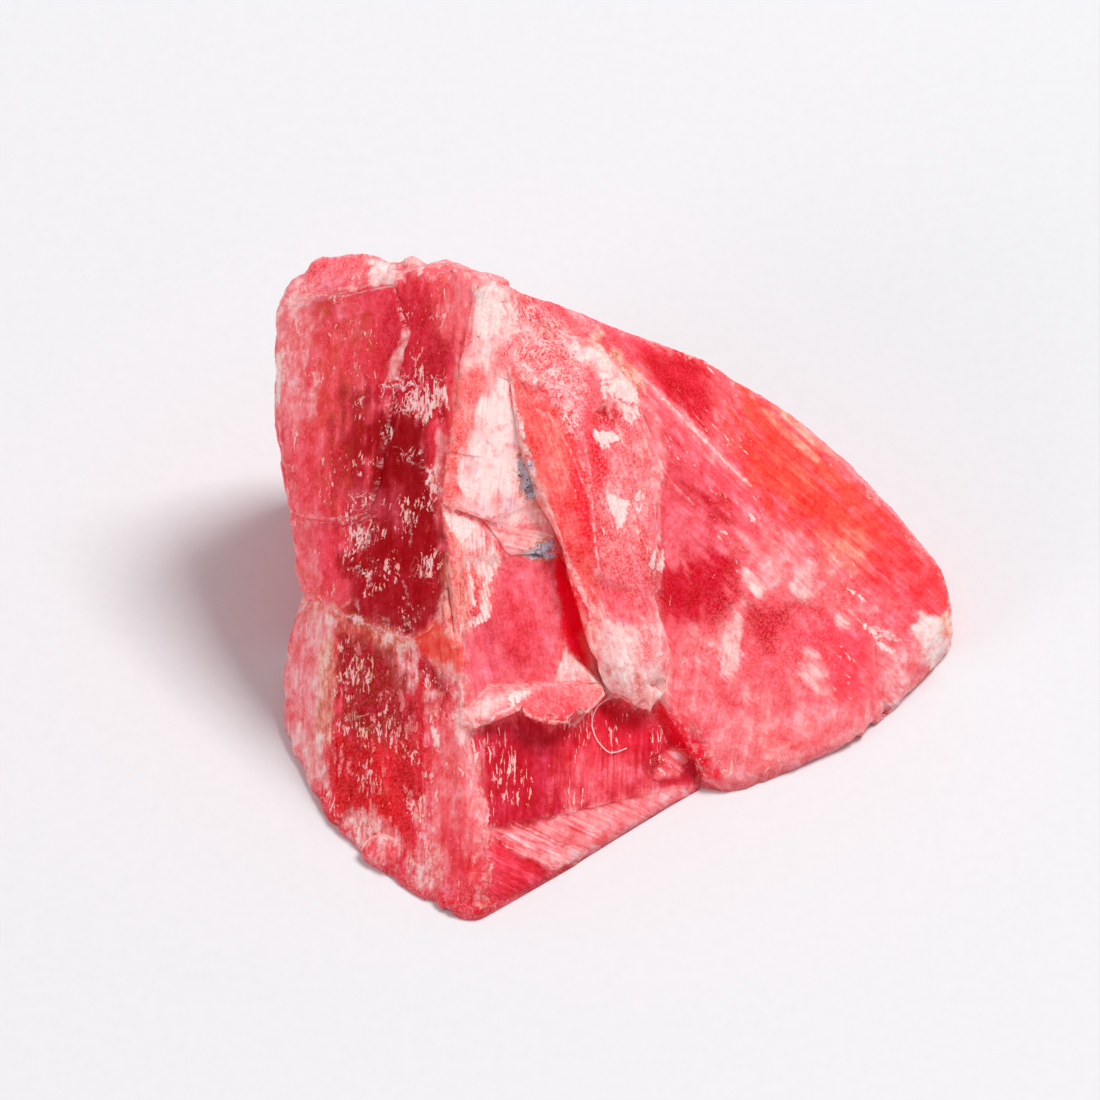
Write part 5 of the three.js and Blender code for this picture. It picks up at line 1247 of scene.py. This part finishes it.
# The floor: a plain sheet of white paper, in metres
floorSheet = {"size": 3.0, "tone": rgb(224, 225, 228), "fleckTone": 0.985, "grain": 2200.0,
              "roughness": 0.9, "gloss": 0.2}
floorMesh = bpy.data.meshes.new("paperFloor")
half = floorSheet["size"] / 2
floorMesh.from_pydata([(-half, -half, 0), (half, -half, 0), (half, half, 0), (-half, half, 0)], [],
                      [(0, 1, 2, 3)])
paperFloor = bpy.data.objects.new("paperFloor", floorMesh)
bpy.context.scene.collection.objects.link(paperFloor)
paper = bpy.data.materials.new("whitePaper")
paper.use_nodes = True
g = Graph(paper.node_tree)
pulp = g.noise(g.node("ShaderNodeTexCoord").outputs["Object"], floorSheet["grain"], 1.0, 0.7)
darker = tuple(floorSheet["fleckTone"] * c for c in floorSheet["tone"])
g.fed(paper.node_tree.nodes["Principled BSDF"],
      Base_Color=g.mix(g.ramp(pulp, 0.3, 0.7), darker, floorSheet["tone"]),
      Roughness=floorSheet["roughness"], Specular_IOR_Level=floorSheet["gloss"])
floorMesh.materials.append(paper)
print("stage: floor laid")

# Soft studio light, mostly from the right and above: name, watts, size, place and tint, in metres
studio = {
    "lights": [
        ("keySoftbox", 3.35, 0.24, (0.255, 0.11, 0.555), (1.0, 0.985, 0.97)),
        ("leftFill", 1.2, 0.30, (-0.50, -0.40, 0.20), (1.0, 0.76, 0.79)),
    ],
    "room": (0.97, 0.98, 1.0), "roomStrength": 0.42,
    "aim": (-1.5, 1.5, 7.0),  # what the lights and the camera point at, in mm on the front
}
aim = Vector(fromFront(*studio["aim"]) * millimetre)
for name, watts, size, where, tint in studio["lights"]:
    lamp = bpy.data.lights.new(name, "AREA")
    lamp.shape = "SQUARE"
    lamp.size = size
    lamp.energy = watts
    lamp.color = tint
    lampObject = bpy.data.objects.new(name, lamp)
    lampObject.location = where
    lampObject.rotation_euler = (aim - Vector(where)).to_track_quat("-Z", "Y").to_euler()
    bpy.context.scene.collection.objects.link(lampObject)
world = bpy.data.worlds.new("paleRoom")
world.use_nodes = True
Graph(world.node_tree).fed(world.node_tree.nodes["Background"], Color=(*studio["room"], 1),
                           Strength=studio["roomStrength"])
bpy.context.scene.world = world
bpy.context.scene.view_settings.view_transform = "Standard"

# The camera looks square on to the leaning front, from far off; metres, and mm for the sensor
view = {"distance": 0.70, "field": 0.033, "nearest": 0.05, "sensor": 36.0}
cameraData = bpy.data.cameras.new("camera")
cameraData.sensor_width = view["sensor"]
cameraData.lens = view["sensor"] * view["distance"] / view["field"]
cameraData.clip_start = view["nearest"]
camera = bpy.data.objects.new("camera", cameraData)
camera.location = aim + Vector(outAxis) * view["distance"]
camera.rotation_euler = (aim - camera.location).to_track_quat("-Z", "Y").to_euler()
bpy.context.scene.collection.objects.link(camera)
bpy.context.scene.camera = camera
print("stage: studio set")
